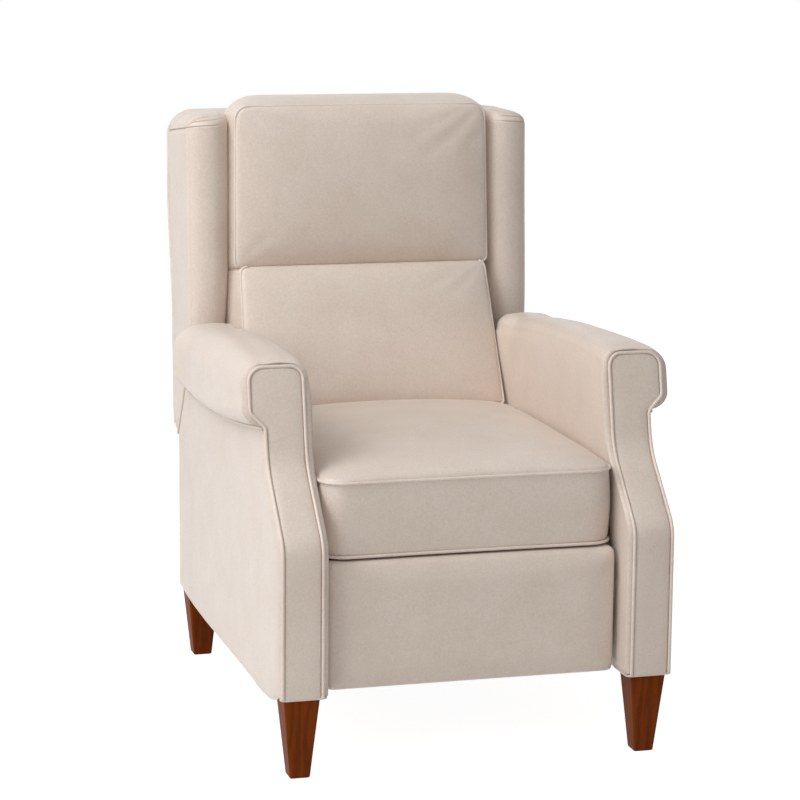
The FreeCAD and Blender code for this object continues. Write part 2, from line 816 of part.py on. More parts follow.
for side, sign in SIDES:
    keep(f"{side}_side_panel", feature(f"{side}_side_panel", mirrored(side_panel_shape(), sign)))


def arm_front_outline(inset):
    """Outline of the arm front seen from the front, drawn in by an inset."""
    outer = size.base_half_width - inset
    inner = arm_inner + inset
    roll = outer + size.roll_overhang
    top = size.arm_front_height - inset
    low = size.leg_height + inset
    neck = size.neck_radius
    eighth = turned(45, neck)
    half_eighth = turned(22.5, neck)
    slant = size.roll_overhang - 2 * eighth[0]
    round_out = size.roll_outer_radius - inset
    round_in = size.roll_inner_radius - inset
    bend = 1 - math.sqrt(0.5)
    lean_height = size.neck_height - inset / 2

    def at(across, height):
        return point(-size.overrun, height, across)

    neck_end = (outer + eighth[0], lean_height + eighth[1])
    roll_start = (neck_end[0] + slant, neck_end[1] + slant)
    side_low = (roll, roll_start[1] + eighth[1])
    return Part.Wire([
        straight(at(inner, low), at(outer, low)),
        straight(at(outer, low), at(outer, lean_height)),
        through(at(outer, lean_height),
                at(outer + half_eighth[0], lean_height + half_eighth[1]), at(*neck_end)),
        straight(at(*neck_end), at(*roll_start)),
        through(at(*roll_start),
                at(roll - half_eighth[0], side_low[1] - half_eighth[1]), at(*side_low)),
        straight(at(*side_low), at(roll, top - round_out)),
        through(at(roll, top - round_out),
                at(roll - round_out * bend, top - round_out * bend), at(roll - round_out, top)),
        straight(at(roll - round_out, top), at(inner + round_in, top)),
        through(at(inner + round_in, top),
                at(inner + round_in * bend, top - round_in * bend), at(inner, top - round_in)),
        straight(at(inner, top - round_in), at(inner, low)),
    ])


# Arm fronts: a padded panel that follows the S-curve, with its welt in a step round the edge
reach_back = BACKWARD * (size.arm_length / 2)
whole_outline = prism(arm_front_outline(0), reach_back)
field_outline = prism(arm_front_outline(size.welt_width), reach_back)
seat_of_welt = front_slab(size.welt_seat, size.front_panel_thickness)
face_of_panel = front_slab(0, size.welt_seat)
front_panel = whole_outline.common(seat_of_welt).fuse(field_outline.common(face_of_panel))
front_panel = front_panel.removeSplitter()
front_welt = whole_outline.cut(field_outline).common(front_slab(-size.welt_proud, size.welt_seat))
for side, sign in SIDES:
    keep(f"{side}_arm_front_panel",
         feature(f"{side}_arm_front_panel", mirrored(front_panel, sign)))
    keep(f"{side}_arm_front_welt", feature(f"{side}_arm_front_welt", mirrored(front_welt, sign)))

# Steel plates on the base rails, with the pins that the seat and the back turn on
SEAT_PIVOT = (depth("seat_pivot_depth"), "seat_pivot_height")
BACK_PIVOT = (depth("back_pivot_depth"), "back_pivot_height")
BASE_PLATE_INNER = "rail_gap_to_seat - plate_thickness"
FIXED_BORE = "pivot_pin_radius + pin_clearance / 2"
PLATE_SCREW_SHARES = (0.15, 0.5, 0.85)
base_plates = []
pivot_pins = []
plate_screws = []
for side, sign in SIDES:
    corners = [
        (depth("base_plate_front"), f"{RAIL_BOTTOM} + pivot_boss_radius"),
        (depth("base_plate_rear"), f"{RAIL_BOTTOM} + pivot_boss_radius"),
        (depth("back_pivot_depth + pivot_boss_radius"), "back_pivot_height"),
        (depth("back_pivot_depth + pivot_boss_radius / 2"), "back_pivot_height + pivot_boss_radius"),
        (depth("back_pivot_depth - pivot_boss_radius"), "back_pivot_height + pivot_boss_radius"),
        (depth("seat_pivot_depth - pivot_boss_radius"), "seat_pivot_height + pivot_boss_radius"),
        (depth("seat_pivot_depth - 2 * pivot_boss_radius"), f"{RAIL_BOTTOM} + rail_height"),
        (depth("base_plate_front"), f"{RAIL_BOTTOM} + rail_height"),
    ]
    holes = [(*SEAT_PIVOT, FIXED_BORE), (*BACK_PIVOT, FIXED_BORE)]
    base_plates.append(board(f"{side}_base_plate", corners, holes,
                             from_inside(sign, BASE_PLATE_INNER, "plate_thickness"),
                             "plate_thickness"))
    for pivot_name, pivot in (("seat", SEAT_PIVOT), ("back", BACK_PIVOT)):
        name = f"{side}_{pivot_name}_pivot"
        head_inner = "seat_plate_outer - plate_thickness - running_gap - pivot_head_thickness"
        length = f"rail_gap_to_seat + pivot_head_thickness - ({head_inner})"
        shank = rod(name + "_shank", from_inside(sign, head_inner, length), *pivot,
                    "pivot_pin_radius", length)
        head = rod(name + "_head", from_inside(sign, head_inner, "pivot_head_thickness"), *pivot,
                   "pivot_head_radius", "pivot_head_thickness")
        pivot_pins.append(fuse(name + "_pin", [shank, head]))
    for share in PLATE_SCREW_SHARES:
        place = depth(f"base_plate_front + (base_plate_rear - base_plate_front) * {share}")
        height = f"{RAIL_BOTTOM} + rail_height / 2 + pivot_boss_radius / 2"
        inner = f"{BASE_PLATE_INNER} - screw_head_thickness"
        plate_screws.append(rod(f"{side}_plate_screw", from_inside(sign, inner,
                                "screw_head_thickness"), place, height,
                                "screw_head_radius", "screw_head_thickness"))
keep("base_plates", group("base_plates", base_plates))
keep("pivot_pins", group("pivot_pins", pivot_pins))
keep("plate_screws", group("plate_screws", plate_screws))

# Seat frame: hardwood rails under steel plates whose flanges carry the deck
RAIL_TOP = "seat_bottom_height - deck_thickness - plate_thickness"
RAIL_LOW = f"{RAIL_TOP} - seat_rail_height"
SEAT_RAIL_INNER = "seat_rail_half_width - seat_rail_width"
for side, sign in SIDES:
    keep(f"seat_{side}_rail", box(
        f"seat_{side}_rail", from_inside(sign, SEAT_RAIL_INNER, "seat_rail_width"),
        depth("seat_rail_front"), RAIL_LOW, "seat_rail_width",
        "seat_rail_rear - seat_rail_front", "seat_rail_height"))
for end, place in (("front", "seat_rail_front"), ("rear", "seat_rail_rear - seat_rail_width")):
    keep(f"seat_{end}_rail", box(
        f"seat_{end}_rail", f"0 - ({SEAT_RAIL_INNER})", depth(place), RAIL_LOW,
        f"2 * ({SEAT_RAIL_INNER})", "seat_rail_width", "seat_rail_height"))


def zigzag(start, along, length):
    """Sinuous spring: straight runs across, joined by half-round bends."""
    wire = size.spring_wire_radius
    turns = max(2, int(length / (2 * size.spring_bend_radius)))
    step = length / turns
    run = 2 * (size.spring_half_sweep - step / 2)
    upright_axis = along.cross(ACROSS)
    pieces = []
    here = start - ACROSS * (run / 2)
    way = 1
    for turn in range(turns + 1):
        pieces.append(Part.makeCylinder(wire, run, here, ACROSS * way))
        here = here + ACROSS * (run * way)
        if turn < turns:
            ring = Part.Wire([Part.Circle(here, ACROSS, wire).toShape()])
            centre = here + along * (step / 2)
            pieces.append(Part.Face(ring).revolve(centre, upright_axis * -way, 180))
            here = here + along * step
        way = -way
    return pieces[0].multiFuse(pieces[1:]).removeSplitter()


def springs(count, start, along, length):
    """A row of sinuous springs, side by side."""
    wires = []
    for index in range(int(count)):
        offset = (index - (count - 1) / 2) * size.spring_pitch
        wires.append(zigzag(start + ACROSS * offset, along, length))
    return Part.makeCompound(wires)


seat_spring_height = size.seat_bottom_height - size.deck_thickness - size.spring_wire_radius
seat_spring_start = point(size.seat_rail_front + size.seat_rail_width / 2, seat_spring_height)
seat_spring_length = size.seat_rail_rear - size.seat_rail_front - size.seat_rail_width
keep("seat_springs", feature("seat_springs", springs(
    size.seat_spring_count, seat_spring_start, BACKWARD, seat_spring_length)))
keep("seat_deck", box(
    "seat_deck", "0 - deck_half_width", depth("deck_front"), "seat_bottom_height - deck_thickness",
    "2 * deck_half_width", "seat_rail_rear - deck_front - overrun", "deck_thickness"))

# Places of the linkage at rest
P_REAR = (depth("footrest_pivot_depth + 2 * link_length * sin(link_start_angle)"),
          "footrest_pivot_height")
P_LOW = (depth("footrest_pivot_depth + link_length * sin(link_start_angle)"),
         "footrest_pivot_height - link_length * cos(link_start_angle)")
P_FRONT = (depth("footrest_pivot_depth"), "footrest_pivot_height")
P_SLOT = (P_REAR[0], P_LOW[1])
P_UPPER = (P_LOW[0], P_FRONT[1])
P_CROSS = (depth("footrest_pivot_depth + 1.5 * link_length * sin(link_start_angle)"),
           "footrest_pivot_height - 0.5 * link_length * cos(link_start_angle)")
SLOT_TOP = "footrest_pivot_height - link_length * sin(link_start_angle)"
LANE = "plate_thickness + link_gap"
SEAT_PLATE_INNER = "seat_plate_outer - plate_thickness"
CROSS_INNER = f"{SEAT_PLATE_INNER} - running_gap - plate_thickness"
REAR_INNER = f"{CROSS_INNER} - ({LANE})"
FRONT_INNER = f"{REAR_INNER} - ({LANE})"
BRACKET_INNER = f"{FRONT_INNER} - ({LANE})"
LINK_BORE = "link_pin_radius + pin_clearance"

# Seat plates: an upright web with the rear pivot, the footrest pivot and the slot of the
# cross link, and a flange that lies on the side rail
seat_plates = []
footrest_pins = []
for side, sign in SIDES:
    name = f"{side}_seat_plate"
    low = from_inside(sign, SEAT_PLATE_INNER, "plate_thickness")
    web_top = f"{RAIL_TOP} + plate_thickness"
    half_lobe = "link_pin_radius + slot_wall"
    corners = [
        (f"{P_REAR[0]} - ({half_lobe})", f"{P_SLOT[1]} - ({half_lobe}) + link_gap"),
        (f"{P_REAR[0]} + {half_lobe}", f"{P_SLOT[1]} - ({half_lobe}) + link_gap"),
        (f"{P_REAR[0]} + {half_lobe}", f"{web_top} - seat_plate_depth"),
        (depth("seat_pivot_depth + pivot_boss_radius"), f"{web_top} - seat_plate_depth"),
        (depth("seat_pivot_depth + pivot_boss_radius"), web_top),
        (f"{P_REAR[0]} - ({half_lobe})", web_top),
    ]
    holes = [
        (*SEAT_PIVOT, "pivot_pin_radius + pin_clearance"),
        (*P_REAR, "link_pin_radius + pin_clearance / 2"),
    ]
    web = board(name + "_web", corners, holes, low, "plate_thickness")
    flange_length = f"{SEAT_PLATE_INNER} - ({SEAT_RAIL_INNER})"
    flange = box(name + "_flange", from_inside(sign, SEAT_RAIL_INNER, flange_length),
                 f"{P_REAR[0]} - ({half_lobe})", RAIL_TOP, flange_length,
                 f"{depth('seat_pivot_depth + pivot_boss_radius')} - ({P_REAR[0]}) + {half_lobe}",
                 "plate_thickness")
    slot_box = box(name + "_slot", from_inside(sign, f"{SEAT_PLATE_INNER} - overrun / 4",
                                               "plate_thickness + overrun / 2"),
                   f"{P_SLOT[0]} - link_pin_radius - pin_clearance",
                   f"{P_SLOT[1]} - link_pin_radius - pin_clearance",
                   "plate_thickness + overrun / 2", "2 * (link_pin_radius + pin_clearance)",
                   f"({SLOT_TOP}) - ({P_SLOT[1]}) + 2 * (link_pin_radius + pin_clearance)")
    solid = fuse(name + "_solid", [web, flange])
    seat_plates.append(cut(name, solid, slot_box))
    length = f"seat_plate_outer - ({REAR_INNER}) + link_gap / 2"
    footrest_pins.append(rod(f"{side}_footrest_pin",
                             from_inside(sign, f"{REAR_INNER} - link_gap / 2", length),
                             *P_REAR, "link_pin_radius", length))
keep("seat_plates", group("seat_plates", seat_plates))
keep("footrest_pivot_pins", group("footrest_pivot_pins", footrest_pins))

# Footrest linkage: on each side a rear link, a cross link over its middle and a front link
rear_links = []
cross_links = []
front_links = []
for side, sign in SIDES:
    plate = link(f"{side}_rear_link_plate", (P_REAR, P_LOW),
                 from_inside(sign, REAR_INNER, "plate_thickness"),
                 [(*P_REAR, LINK_BORE), (*P_LOW, "link_pin_radius + pin_clearance / 2")])
    length = f"{LANE} - link_gap / 2 + running_gap / 2"
    stud = rod(f"{side}_cross_stud",
               from_inside(sign, f"{REAR_INNER} + plate_thickness", length),
               *P_CROSS, "link_pin_radius", length)
    rear_links.append(fuse(f"{side}_rear_link", [plate, stud]))
    plate = link(f"{side}_cross_link_plate", (P_UPPER, P_SLOT),
                 from_inside(sign, CROSS_INNER, "plate_thickness"), [(*P_CROSS, LINK_BORE)])
    length = "plate_thickness + running_gap"
    stud = rod(f"{side}_slot_stud",
               from_inside(sign, f"{CROSS_INNER} + plate_thickness", length),
               *P_SLOT, "link_pin_radius", length)
    cross_links.append(fuse(f"{side}_cross_link", [plate, stud]))
    front_links.append(link(f"{side}_front_link", (P_LOW, P_FRONT),
                            from_inside(sign, FRONT_INNER, "plate_thickness"),
                            [(*P_LOW, LINK_BORE), (*P_FRONT, LINK_BORE)]))
keep("rear_links", group("rear_links", rear_links))
keep("cross_links", group("cross_links", cross_links))
keep("front_links", group("front_links", front_links))

# Cross tube between the rear links, its ends turned down to pins that carry the front links
tube_half = f"{FRONT_INNER} - link_gap / 2"
tube_outer = rod("cross_tube_outer", f"0 - ({tube_half})", *P_LOW, "cross_tube_radius",
                 f"2 * ({tube_half})")
tube_bore = rod("cross_tube_bore", f"0 - ({tube_half}) + overrun", *P_LOW,
                "cross_tube_radius - cross_tube_wall", f"2 * ({tube_half}) - 2 * overrun")
tube_shell = cut("cross_tube_shell", tube_outer, tube_bore)
pin_half = f"{REAR_INNER} + plate_thickness"
tube_pins = []
for side, sign in SIDES:
    length = f"{pin_half} - ({tube_half}) + running_gap"
    tube_pins.append(rod(f"{side}_tube_pin",
                         from_inside(sign, f"{tube_half} - running_gap", length),
                         *P_LOW, "link_pin_radius", length))
keep("cross_tube", fuse("cross_tube", [tube_shell] + tube_pins))

# Footrest: padded front on a board, with two steel brackets and their bolts
keep("footrest_board", box(
    "footrest_board", "footrest_board_inset - footrest_half_width", depth("footrest_board_front"),
    "footrest_bottom_height + footrest_board_inset",
    "2 * (footrest_half_width - footrest_board_inset)", "footrest_board_thickness",
    "footrest_top_height - footrest_bottom_height - 2 * footrest_board_inset"))
BRACKET_BOLT_SHARES = (0.2, 0.75)
brackets = []
bracket_bolts = []
for side, sign in SIDES:
    name = f"{side}_footrest_bracket"
    low = from_inside(sign, BRACKET_INNER, "plate_thickness")
    corners = [
        (depth("footrest_board_rear"), "footrest_pivot_height - bracket_drop"),
        (depth("footrest_board_rear + link_half_width"), "footrest_pivot_height - bracket_drop"),
        (depth("footrest_pivot_depth + link_half_width"),
         "footrest_pivot_height - link_half_width"),
        (depth("footrest_pivot_depth + link_half_width"),
         "footrest_pivot_height + link_half_width / 2"),
        (depth("footrest_pivot_depth + link_half_width / 2"),
         "footrest_pivot_height + link_half_width"),
        (depth("footrest_board_rear"), "footrest_pivot_height + bracket_rise"),
    ]
    web = board(name + "_web", corners, [], low, "plate_thickness")
    flange = box(name + "_flange",
                 from_inside(sign, f"{BRACKET_INNER} - bracket_flange", "bracket_flange"),
                 depth("footrest_board_rear"), "footrest_pivot_height - bracket_drop", "bracket_flange",
                 "plate_thickness", "bracket_drop + bracket_rise")
    length = f"{LANE} + link_gap / 2"
    stud = rod(name + "_stud", from_inside(sign, f"{BRACKET_INNER} + plate_thickness", length),
               *P_FRONT, "link_pin_radius", length)
    brackets.append(fuse(name, [web, flange, stud]))
    for share in BRACKET_BOLT_SHARES:
        bolt = doc.addObject("Part::Cylinder", f"{side}_footrest_bolt")
        bolt.Placement.Rotation = FreeCAD.Rotation(ACROSS, -90)
        middle = f"{BRACKET_INNER} - bracket_flange / 2"
        bracket_bolts.append(bind(bolt, {
            "Radius": "bracket_bolt_radius",
            "Height": "pivot_head_thickness",
            "Placement.Base.x": middle if sign > 0 else f"0 - ({middle})",
            "Placement.Base.y": depth("footrest_board_rear + plate_thickness"),
            "Placement.Base.z": "footrest_pivot_height - bracket_drop "
                                f"+ (bracket_drop + bracket_rise) * {share}",
        }))
keep("footrest_brackets", group("footrest_brackets", brackets))
keep("footrest_bolts", group("footrest_bolts", bracket_bolts))


# Cushions: lofts through rounded outlines, drawn in between the corners, with crowned faces
def cushion_outline(low, up, half_low, half_high, height, radii, draw_ins):
    """Rounded outline on the plane that holds ACROSS and up, its lower middle at low.

    The radii are those of the low and the high corners. The draw-ins are those of the low edge,
    the two sides and the high edge; a negative one makes the edge bulge.
    """
    radius_low, radius_high = radii
    draw_low, draw_side, draw_high = draw_ins
    bend = 1 - math.sqrt(0.5)

    def at(across, along):
        return low + ACROSS * across + up * along

    def side(start, end, inward, draw_in):
        if draw_in == 0:
            return straight(start, end)
        middle = (start + end) * 0.5 + inward * draw_in
        return through(start, middle, end)

    slope = (half_high - half_low) / height
    low_right = half_low + slope * radius_low
    high_right = half_high - slope * radius_high
    corners = {}
    for sign in (-1, 1):
        corners[sign] = (
            at(sign * (half_low - radius_low), 0),
            at(sign * (half_low - radius_low * bend), radius_low * bend),
            at(sign * low_right, radius_low),
            at(sign * high_right, height - radius_high),
            at(sign * (half_high - radius_high * bend), height - radius_high * bend),
            at(sign * (half_high - radius_high), height),
        )
    left = corners[-1]
    right = corners[1]
    return Part.Wire([
        side(left[0], right[0], up, draw_low),
        through(right[0], right[1], right[2]),
        side(right[2], right[3], -ACROSS, draw_side),
        through(right[3], right[4], right[5]),
        side(right[5], left[5], -up, draw_high),
        through(left[5], left[4], left[3]),
        side(left[3], left[2], ACROSS, draw_side),
        through(left[2], left[1], left[0]),
    ])


# Crown of a cushion's face: share of the inset and share of the height at each outline
CROWN_SHARES = (
    (0.06, 0.32),
    (0.16, 0.58),
    (0.32, 0.79),
    (0.55, 0.93),
    (0.85, 1.0),
)


def crown_outlines(low, up, outward, half_low, half_high, height, crown, inset_full):
    """Outlines that shrink and rise from a cushion's edge to the top of its crown."""
    outlines = []
    radii = (size.cushion_corner_radius, size.cushion_corner_radius)
    for inset_share, rise_share in CROWN_SHARES:
        inset = inset_full * inset_share
        place = low + up * inset + outward * (crown * rise_share)
        outlines.append(cushion_outline(place, up, half_low - inset, half_high - inset,
                                        height - 2 * inset, radii, (0, 0, 0)))
    return outlines


def edge_ring(wire, outward, depth_in):
    """Welt round a cushion's edge: a band that lies in a step cut from the cushion."""
    outer = Part.Face(wire.makeOffset2D(size.welt_inset / 2))
    inner = Part.Face(wire.makeOffset2D(-size.welt_inset))
    ring = outer.cut(inner).extrude(outward * depth_in)
    return ring


seat_depth = size.seat_rear - size.seat_front
seat_top = size.seat_bottom_height + size.seat_side_height


def seat_outline(height, swell, draw_in):
    """Outline of the seat cushion at a height, swollen past its edge or drawn in."""
    place = point(size.seat_front - swell, height)
    half = size.seat_half_width + swell
    radii = (size.cushion_corner_radius, size.cushion_corner_radius)
    return cushion_outline(place, BACKWARD, half, half, seat_depth + 2 * swell, radii,
                           (draw_in, draw_in, draw_in))


seat_edge_low = seat_outline(size.seat_bottom_height, 0, size.cushion_draw_in)
seat_edge_high = seat_outline(seat_top, 0, size.cushion_draw_in)
seat_side_middle = size.seat_bottom_height + size.seat_side_height / 2
seat_sections = [seat_edge_low, seat_outline(seat_side_middle, size.welt_inset, 0),
                 seat_edge_high]
seat_sections += crown_outlines(
    point(size.seat_front, seat_top), BACKWARD, UPWARD, size.seat_half_width,
    size.seat_half_width, seat_depth, size.seat_crown, size.cushion_crown_inset)
seat_cushion = Part.makeLoft(seat_sections, True, True)
low_welt = edge_ring(seat_edge_low, UPWARD, size.welt_width)
high_welt = edge_ring(seat_edge_high, -UPWARD, size.welt_width)
seat_welts = Part.makeCompound([low_welt, high_welt])
keep("seat_cushion", feature("seat_cushion", seat_cushion.cut(low_welt).cut(high_welt)))
keep("seat_cushion_welts", feature("seat_cushion_welts", seat_welts))

# Back frame: two stiles between a top and a bottom rail, all leaning back together
for side, sign in SIDES:
    keep(f"back_{side}_stile", leaned_box(
        f"back_{side}_stile", from_inside(sign, "stile_outer - stile_width", "stile_width"),
        "stile_front", "frame_bottom", "stile_width", "stile_thickness",
        "frame_top - frame_bottom - frame_rail_height"))
WING_BOARD_INNER = "wing_half_width - wing_panel_thickness - wing_board_thickness"
keep("back_top_rail", leaned_box(
    "back_top_rail", f"0 - ({WING_BOARD_INNER})", "stile_front", "frame_top - frame_rail_height",
    f"2 * ({WING_BOARD_INNER})", "stile_thickness", "frame_rail_height"))
keep("back_bottom_rail", leaned_box(
    "back_bottom_rail", "stile_width - stile_outer", "stile_front", "frame_bottom",
    "2 * (stile_outer - stile_width)", "stile_thickness", "frame_rail_height"))

lean = math.radians(size.back_lean)
up_back = FreeCAD.Vector(0, math.sin(lean), math.cos(lean))
spring_plane = size.stile_front - size.spring_wire_radius
back_spring_start = leaned_point(spring_plane, size.frame_bottom + size.frame_rail_height / 2)
back_spring_length = size.frame_top - size.frame_bottom - size.frame_rail_height
keep("back_springs", feature("back_springs", springs(
    size.back_spring_count, back_spring_start, up_back, back_spring_length)))

# Steel brackets that carry the back on its pivots
brackets = []
for side, sign in SIDES:
    corners = [
        (depth("back_pivot_depth - pivot_boss_radius"), "back_pivot_height - pivot_boss_radius / 2"),
        (depth("back_pivot_depth - pivot_boss_radius / 2"), "back_pivot_height - pivot_boss_radius"),
        (depth("back_pivot_depth + pivot_boss_radius / 2"), "back_pivot_height - pivot_boss_radius"),
        (depth("back_pivot_depth + pivot_boss_radius"), "back_pivot_height"),
        leaned("0", "stile_front + stile_thickness", "bracket_reach_low")[1:],
        leaned("0", "stile_front + stile_thickness", "bracket_reach_high")[1:],
        leaned("0", "stile_front", "bracket_reach_high")[1:],
        leaned("0", "stile_front", "bracket_reach_low")[1:],
        (depth("back_pivot_depth - pivot_boss_radius"), "back_pivot_height + 2 * pivot_boss_radius"),
    ]
    brackets.append(board(f"{side}_back_bracket", corners,
                          [(*BACK_PIVOT, "pivot_pin_radius + pin_clearance")],
                          from_inside(sign, "stile_outer", "plate_thickness"), "plate_thickness"))
keep("back_brackets", group("back_brackets", brackets))


def rise_between(low, high):
    """Unit vector from one place to another, the outward normal beside it, and their distance."""
    span = high - low
    up = FreeCAD.Vector(0, span.y, span.z).normalize()
    return up, FreeCAD.Vector(0, -up.z, up.y), span.Length


def back_cushion(front_low, front_high, rear_low, rear_high, halves, radii, rear_radii, bulge,
                 crown, rise):
    """A cushion of the back, from its face on the springs to the crown of its front."""
    half_low, half_high = halves
    up, outward, height = rise_between(front_low, front_high)
    rear_up, unused, rear_height = rise_between(rear_low, rear_high)
    edge = cushion_outline(front_low, up, half_low, half_high, height, radii, (0, -bulge, 0))
    middle_low = (front_low + rear_low) * 0.5
    middle_high = (front_high + rear_high) * 0.5 + UPWARD * rise
    middle_up, unused, middle_height = rise_between(middle_low, middle_high)
    sections = [
        cushion_outline(rear_low, rear_up, half_low, half_high, rear_height, rear_radii,
                        (0, -bulge, 0)),
        cushion_outline(middle_low, middle_up, half_low, half_high, middle_height, rear_radii,
                        (0, -bulge, 0)),
        edge,
    ]
    sections += crown_outlines(front_low, up, outward, half_low, half_high, height, crown,
                               height * CROWN_WIDTH_SHARE)
    solid = Part.makeLoft(sections, True, True)
    welt = edge_ring(edge, -outward, size.welt_width)
    return solid.cut(welt), welt


CROWN_WIDTH_SHARE = 0.4
cushion_rear = size.stile_front - 2 * size.spring_wire_radius
round_corner = size.cushion_corner_radius
lumbar, lumbar_welt = back_cushion(
    point(size.lumbar_bottom_depth, size.lumbar_bottom_height),
    point(size.lumbar_top_depth, size.lumbar_top_height),
    leaned_point(cushion_rear, size.lumbar_rear_bottom),
    leaned_point(cushion_rear, size.lumbar_rear_top),
    (size.lumbar_half_bottom, size.lumbar_half_top), (size.lumbar_foot_radius, round_corner),
    (size.lumbar_foot_radius, round_corner), 0, size.lumbar_crown, 0)
keep("lumbar_cushion", feature("lumbar_cushion", lumbar))
keep("lumbar_cushion_welt", feature("lumbar_cushion_welt", lumbar_welt))
head, head_welt = back_cushion(
    point(size.head_bottom_depth, size.head_bottom_height),
    point(size.head_top_depth, size.head_top_height),
    leaned_point(cushion_rear, size.lumbar_rear_top + size.cushion_gap),
    point(size.head_rear_depth, size.head_rear_height),
    (size.head_half_bottom, size.head_half_top), (round_corner, round_corner),
    (round_corner, size.head_rear_radius), size.head_bulge, size.head_crown, size.head_top_rise)
keep("head_cushion", feature("head_cushion", head))
keep("head_cushion_welt", feature("head_cushion_welt", head_welt))

# Outer shell of the back: the outline of its inner side, from the foot of the wing seam round
wing_board_inner = size.wing_half_width - size.wing_panel_thickness - size.wing_board_thickness
slope_gap = size.shell_gap * math.sqrt(0.5)
notch = (size.base_depth + size.shell_gap, size.notch_height + slope_gap)
slope_top = (size.arm_length + size.shell_gap + slope_gap, size.wing_bottom_height)
rear_line = [
    (size.shell_low_depth - size.shell_thickness, size.shell_low_height),
    (size.shell_mid_depth - size.shell_thickness, size.shell_mid_height),
    (size.shell_high_depth - size.shell_thickness, size.shell_high_height),
    (size.shell_high_depth - size.shell_thickness, size.wing_seam_rear_height),
]
bottom_rear = (size.shell_low_depth - 3 * size.shell_thickness, size.shell_bottom_height)


def wing_slab(inner, outer):
    """Flat part of a wing between two distances from the middle, behind the front seam."""
    outline = [
        (size.wing_bottom_seam, size.wing_bottom_height),
        slope_top,
        notch,
        bottom_rear,
        *rear_line,
        (size.wing_top_seam, size.wing_seam_height),
        (size.wing_head_seam, size.wing_head_height),
        (size.wing_mid_seam, size.wing_mid_height),
    ]
    places = [point(*place, inner) for place in outline]
    wire = Part.makePolygon(places + places[:1])
    return prism(wire, ACROSS * (outer - inner))


def spring_face_depth(height):
    """Depth, at a height, of the plane in which the cushions rest on the springs."""
    rise = height - size.back_pivot_height
    return size.back_pivot_depth + cushion_rear / math.cos(lean) + rise * math.tan(lean)


def seam_height(depth_back):
    """Height of the seam under the rounded top of a wing."""
    rear = size.shell_high_depth - size.shell_thickness
    share = (rear - depth_back) / (rear - size.wing_top_seam)
    rise = size.wing_seam_height - size.wing_seam_rear_height
    return size.wing_seam_rear_height + rise * share


def wing_section(height, seam, inner):
    """Section of the wing's roll: rounded in front and running back beside the cushions."""
    front = seam - size.wing_roll_depth
    rear = min(spring_face_depth(height), size.head_rear_depth)
    middle = (inner + size.wing_half_width) / 2
    quarter = (size.wing_half_width - middle) * math.sqrt(0.5)
    recess = front + size.wing_roll_recess

    def at(across, back):
        return point(back, height, across)

    return Part.Wire([
        through(at(size.wing_half_width, seam),
                at(middle + quarter, front + size.wing_roll_depth * (1 - math.sqrt(0.5))),
                at(middle, front)),
        through(at(middle, front),
                at(middle - quarter, front + size.wing_roll_recess * (1 - math.sqrt(0.5))),
                at(inner, recess)),
        straight(at(inner, recess), at(inner, rear)),
        straight(at(inner, rear), at(wing_board_inner, rear)),
        straight(at(wing_board_inner, rear), at(wing_board_inner, seam)),
        straight(at(wing_board_inner, seam), at(size.wing_half_width, seam)),
    ])


# Top of a wing: share of the cap's height, and shares of the corner radius by which the outer,
# front and inner edges draw in
WING_CAP_SHARES = (
    (0.0, 0.0, 0.0, 0.0),
    (0.4, 0.12, 0.1, 0.0),
    (0.75, 0.4, 0.35, 0.05),
    (1.0, 0.95, 0.9, 0.2),
)


def wing_cap():
    """Rounded top of a wing, above the seam of its side panel."""
    sections = []
    top = size.wing_top_height
    front = size.wing_top_seam - size.wing_roll_depth / 2
    rear = size.head_rear_depth
    for height_share, outer_share, front_share, inner_share in WING_CAP_SHARES:
        outer = size.wing_half_width - size.wing_corner_radius * outer_share
        inner = size.wing_inner_high + size.wing_corner_radius * inner_share
        forward = front + size.wing_corner_radius * front_share
        height = seam_height(forward)
        height += (top - height) * height_share
        rear_height = seam_height(rear)
        rear_height += (top - rear_height) * height_share
        corners = [
            point(forward, height, inner),
            point(forward, height, outer),
            point(rear, rear_height, outer),
            point(rear, rear_height, inner),
        ]
        sections.append(Part.makePolygon(corners + corners[:1]))
    return Part.makeLoft(sections, True, True)


wing_roll = Part.makeLoft([
    wing_section(size.wing_bottom_height, size.wing_bottom_seam, size.wing_inner),
    wing_section(size.wing_mid_height, size.wing_mid_seam, size.wing_inner),
    wing_section(size.wing_head_height, size.wing_head_seam, size.wing_inner_high),
    wing_section(size.wing_top_height, size.wing_top_seam, size.wing_inner_high),
], True, True)
cap = wing_cap()
above_seam = [
    point(0, seam_height(0)),
    point(size.shell_high_depth, seam_height(size.shell_high_depth)),
    point(size.shell_high_depth, 2 * size.wing_top_height),
    point(0, 2 * size.wing_top_height),
]
above_seam = prism(Part.makePolygon(above_seam + above_seam[:1]), ACROSS * (2 * size.wing_half_width))
wing_pad = wing_roll.cut(above_seam).fuse(cap)
wing_board = wing_slab(wing_board_inner, size.wing_half_width - size.wing_panel_thickness)
wing_panel = wing_slab(size.wing_half_width - size.wing_panel_thickness, size.wing_half_width)
for side, sign in SIDES:
    keep(f"{side}_wing_pad", feature(f"{side}_wing_pad", mirrored(wing_pad, sign)))
    keep(f"{side}_wing_frame", feature(f"{side}_wing_frame", mirrored(wing_board, sign)))
    keep(f"{side}_wing_side_panel",
         feature(f"{side}_wing_side_panel", mirrored(wing_panel, sign)))


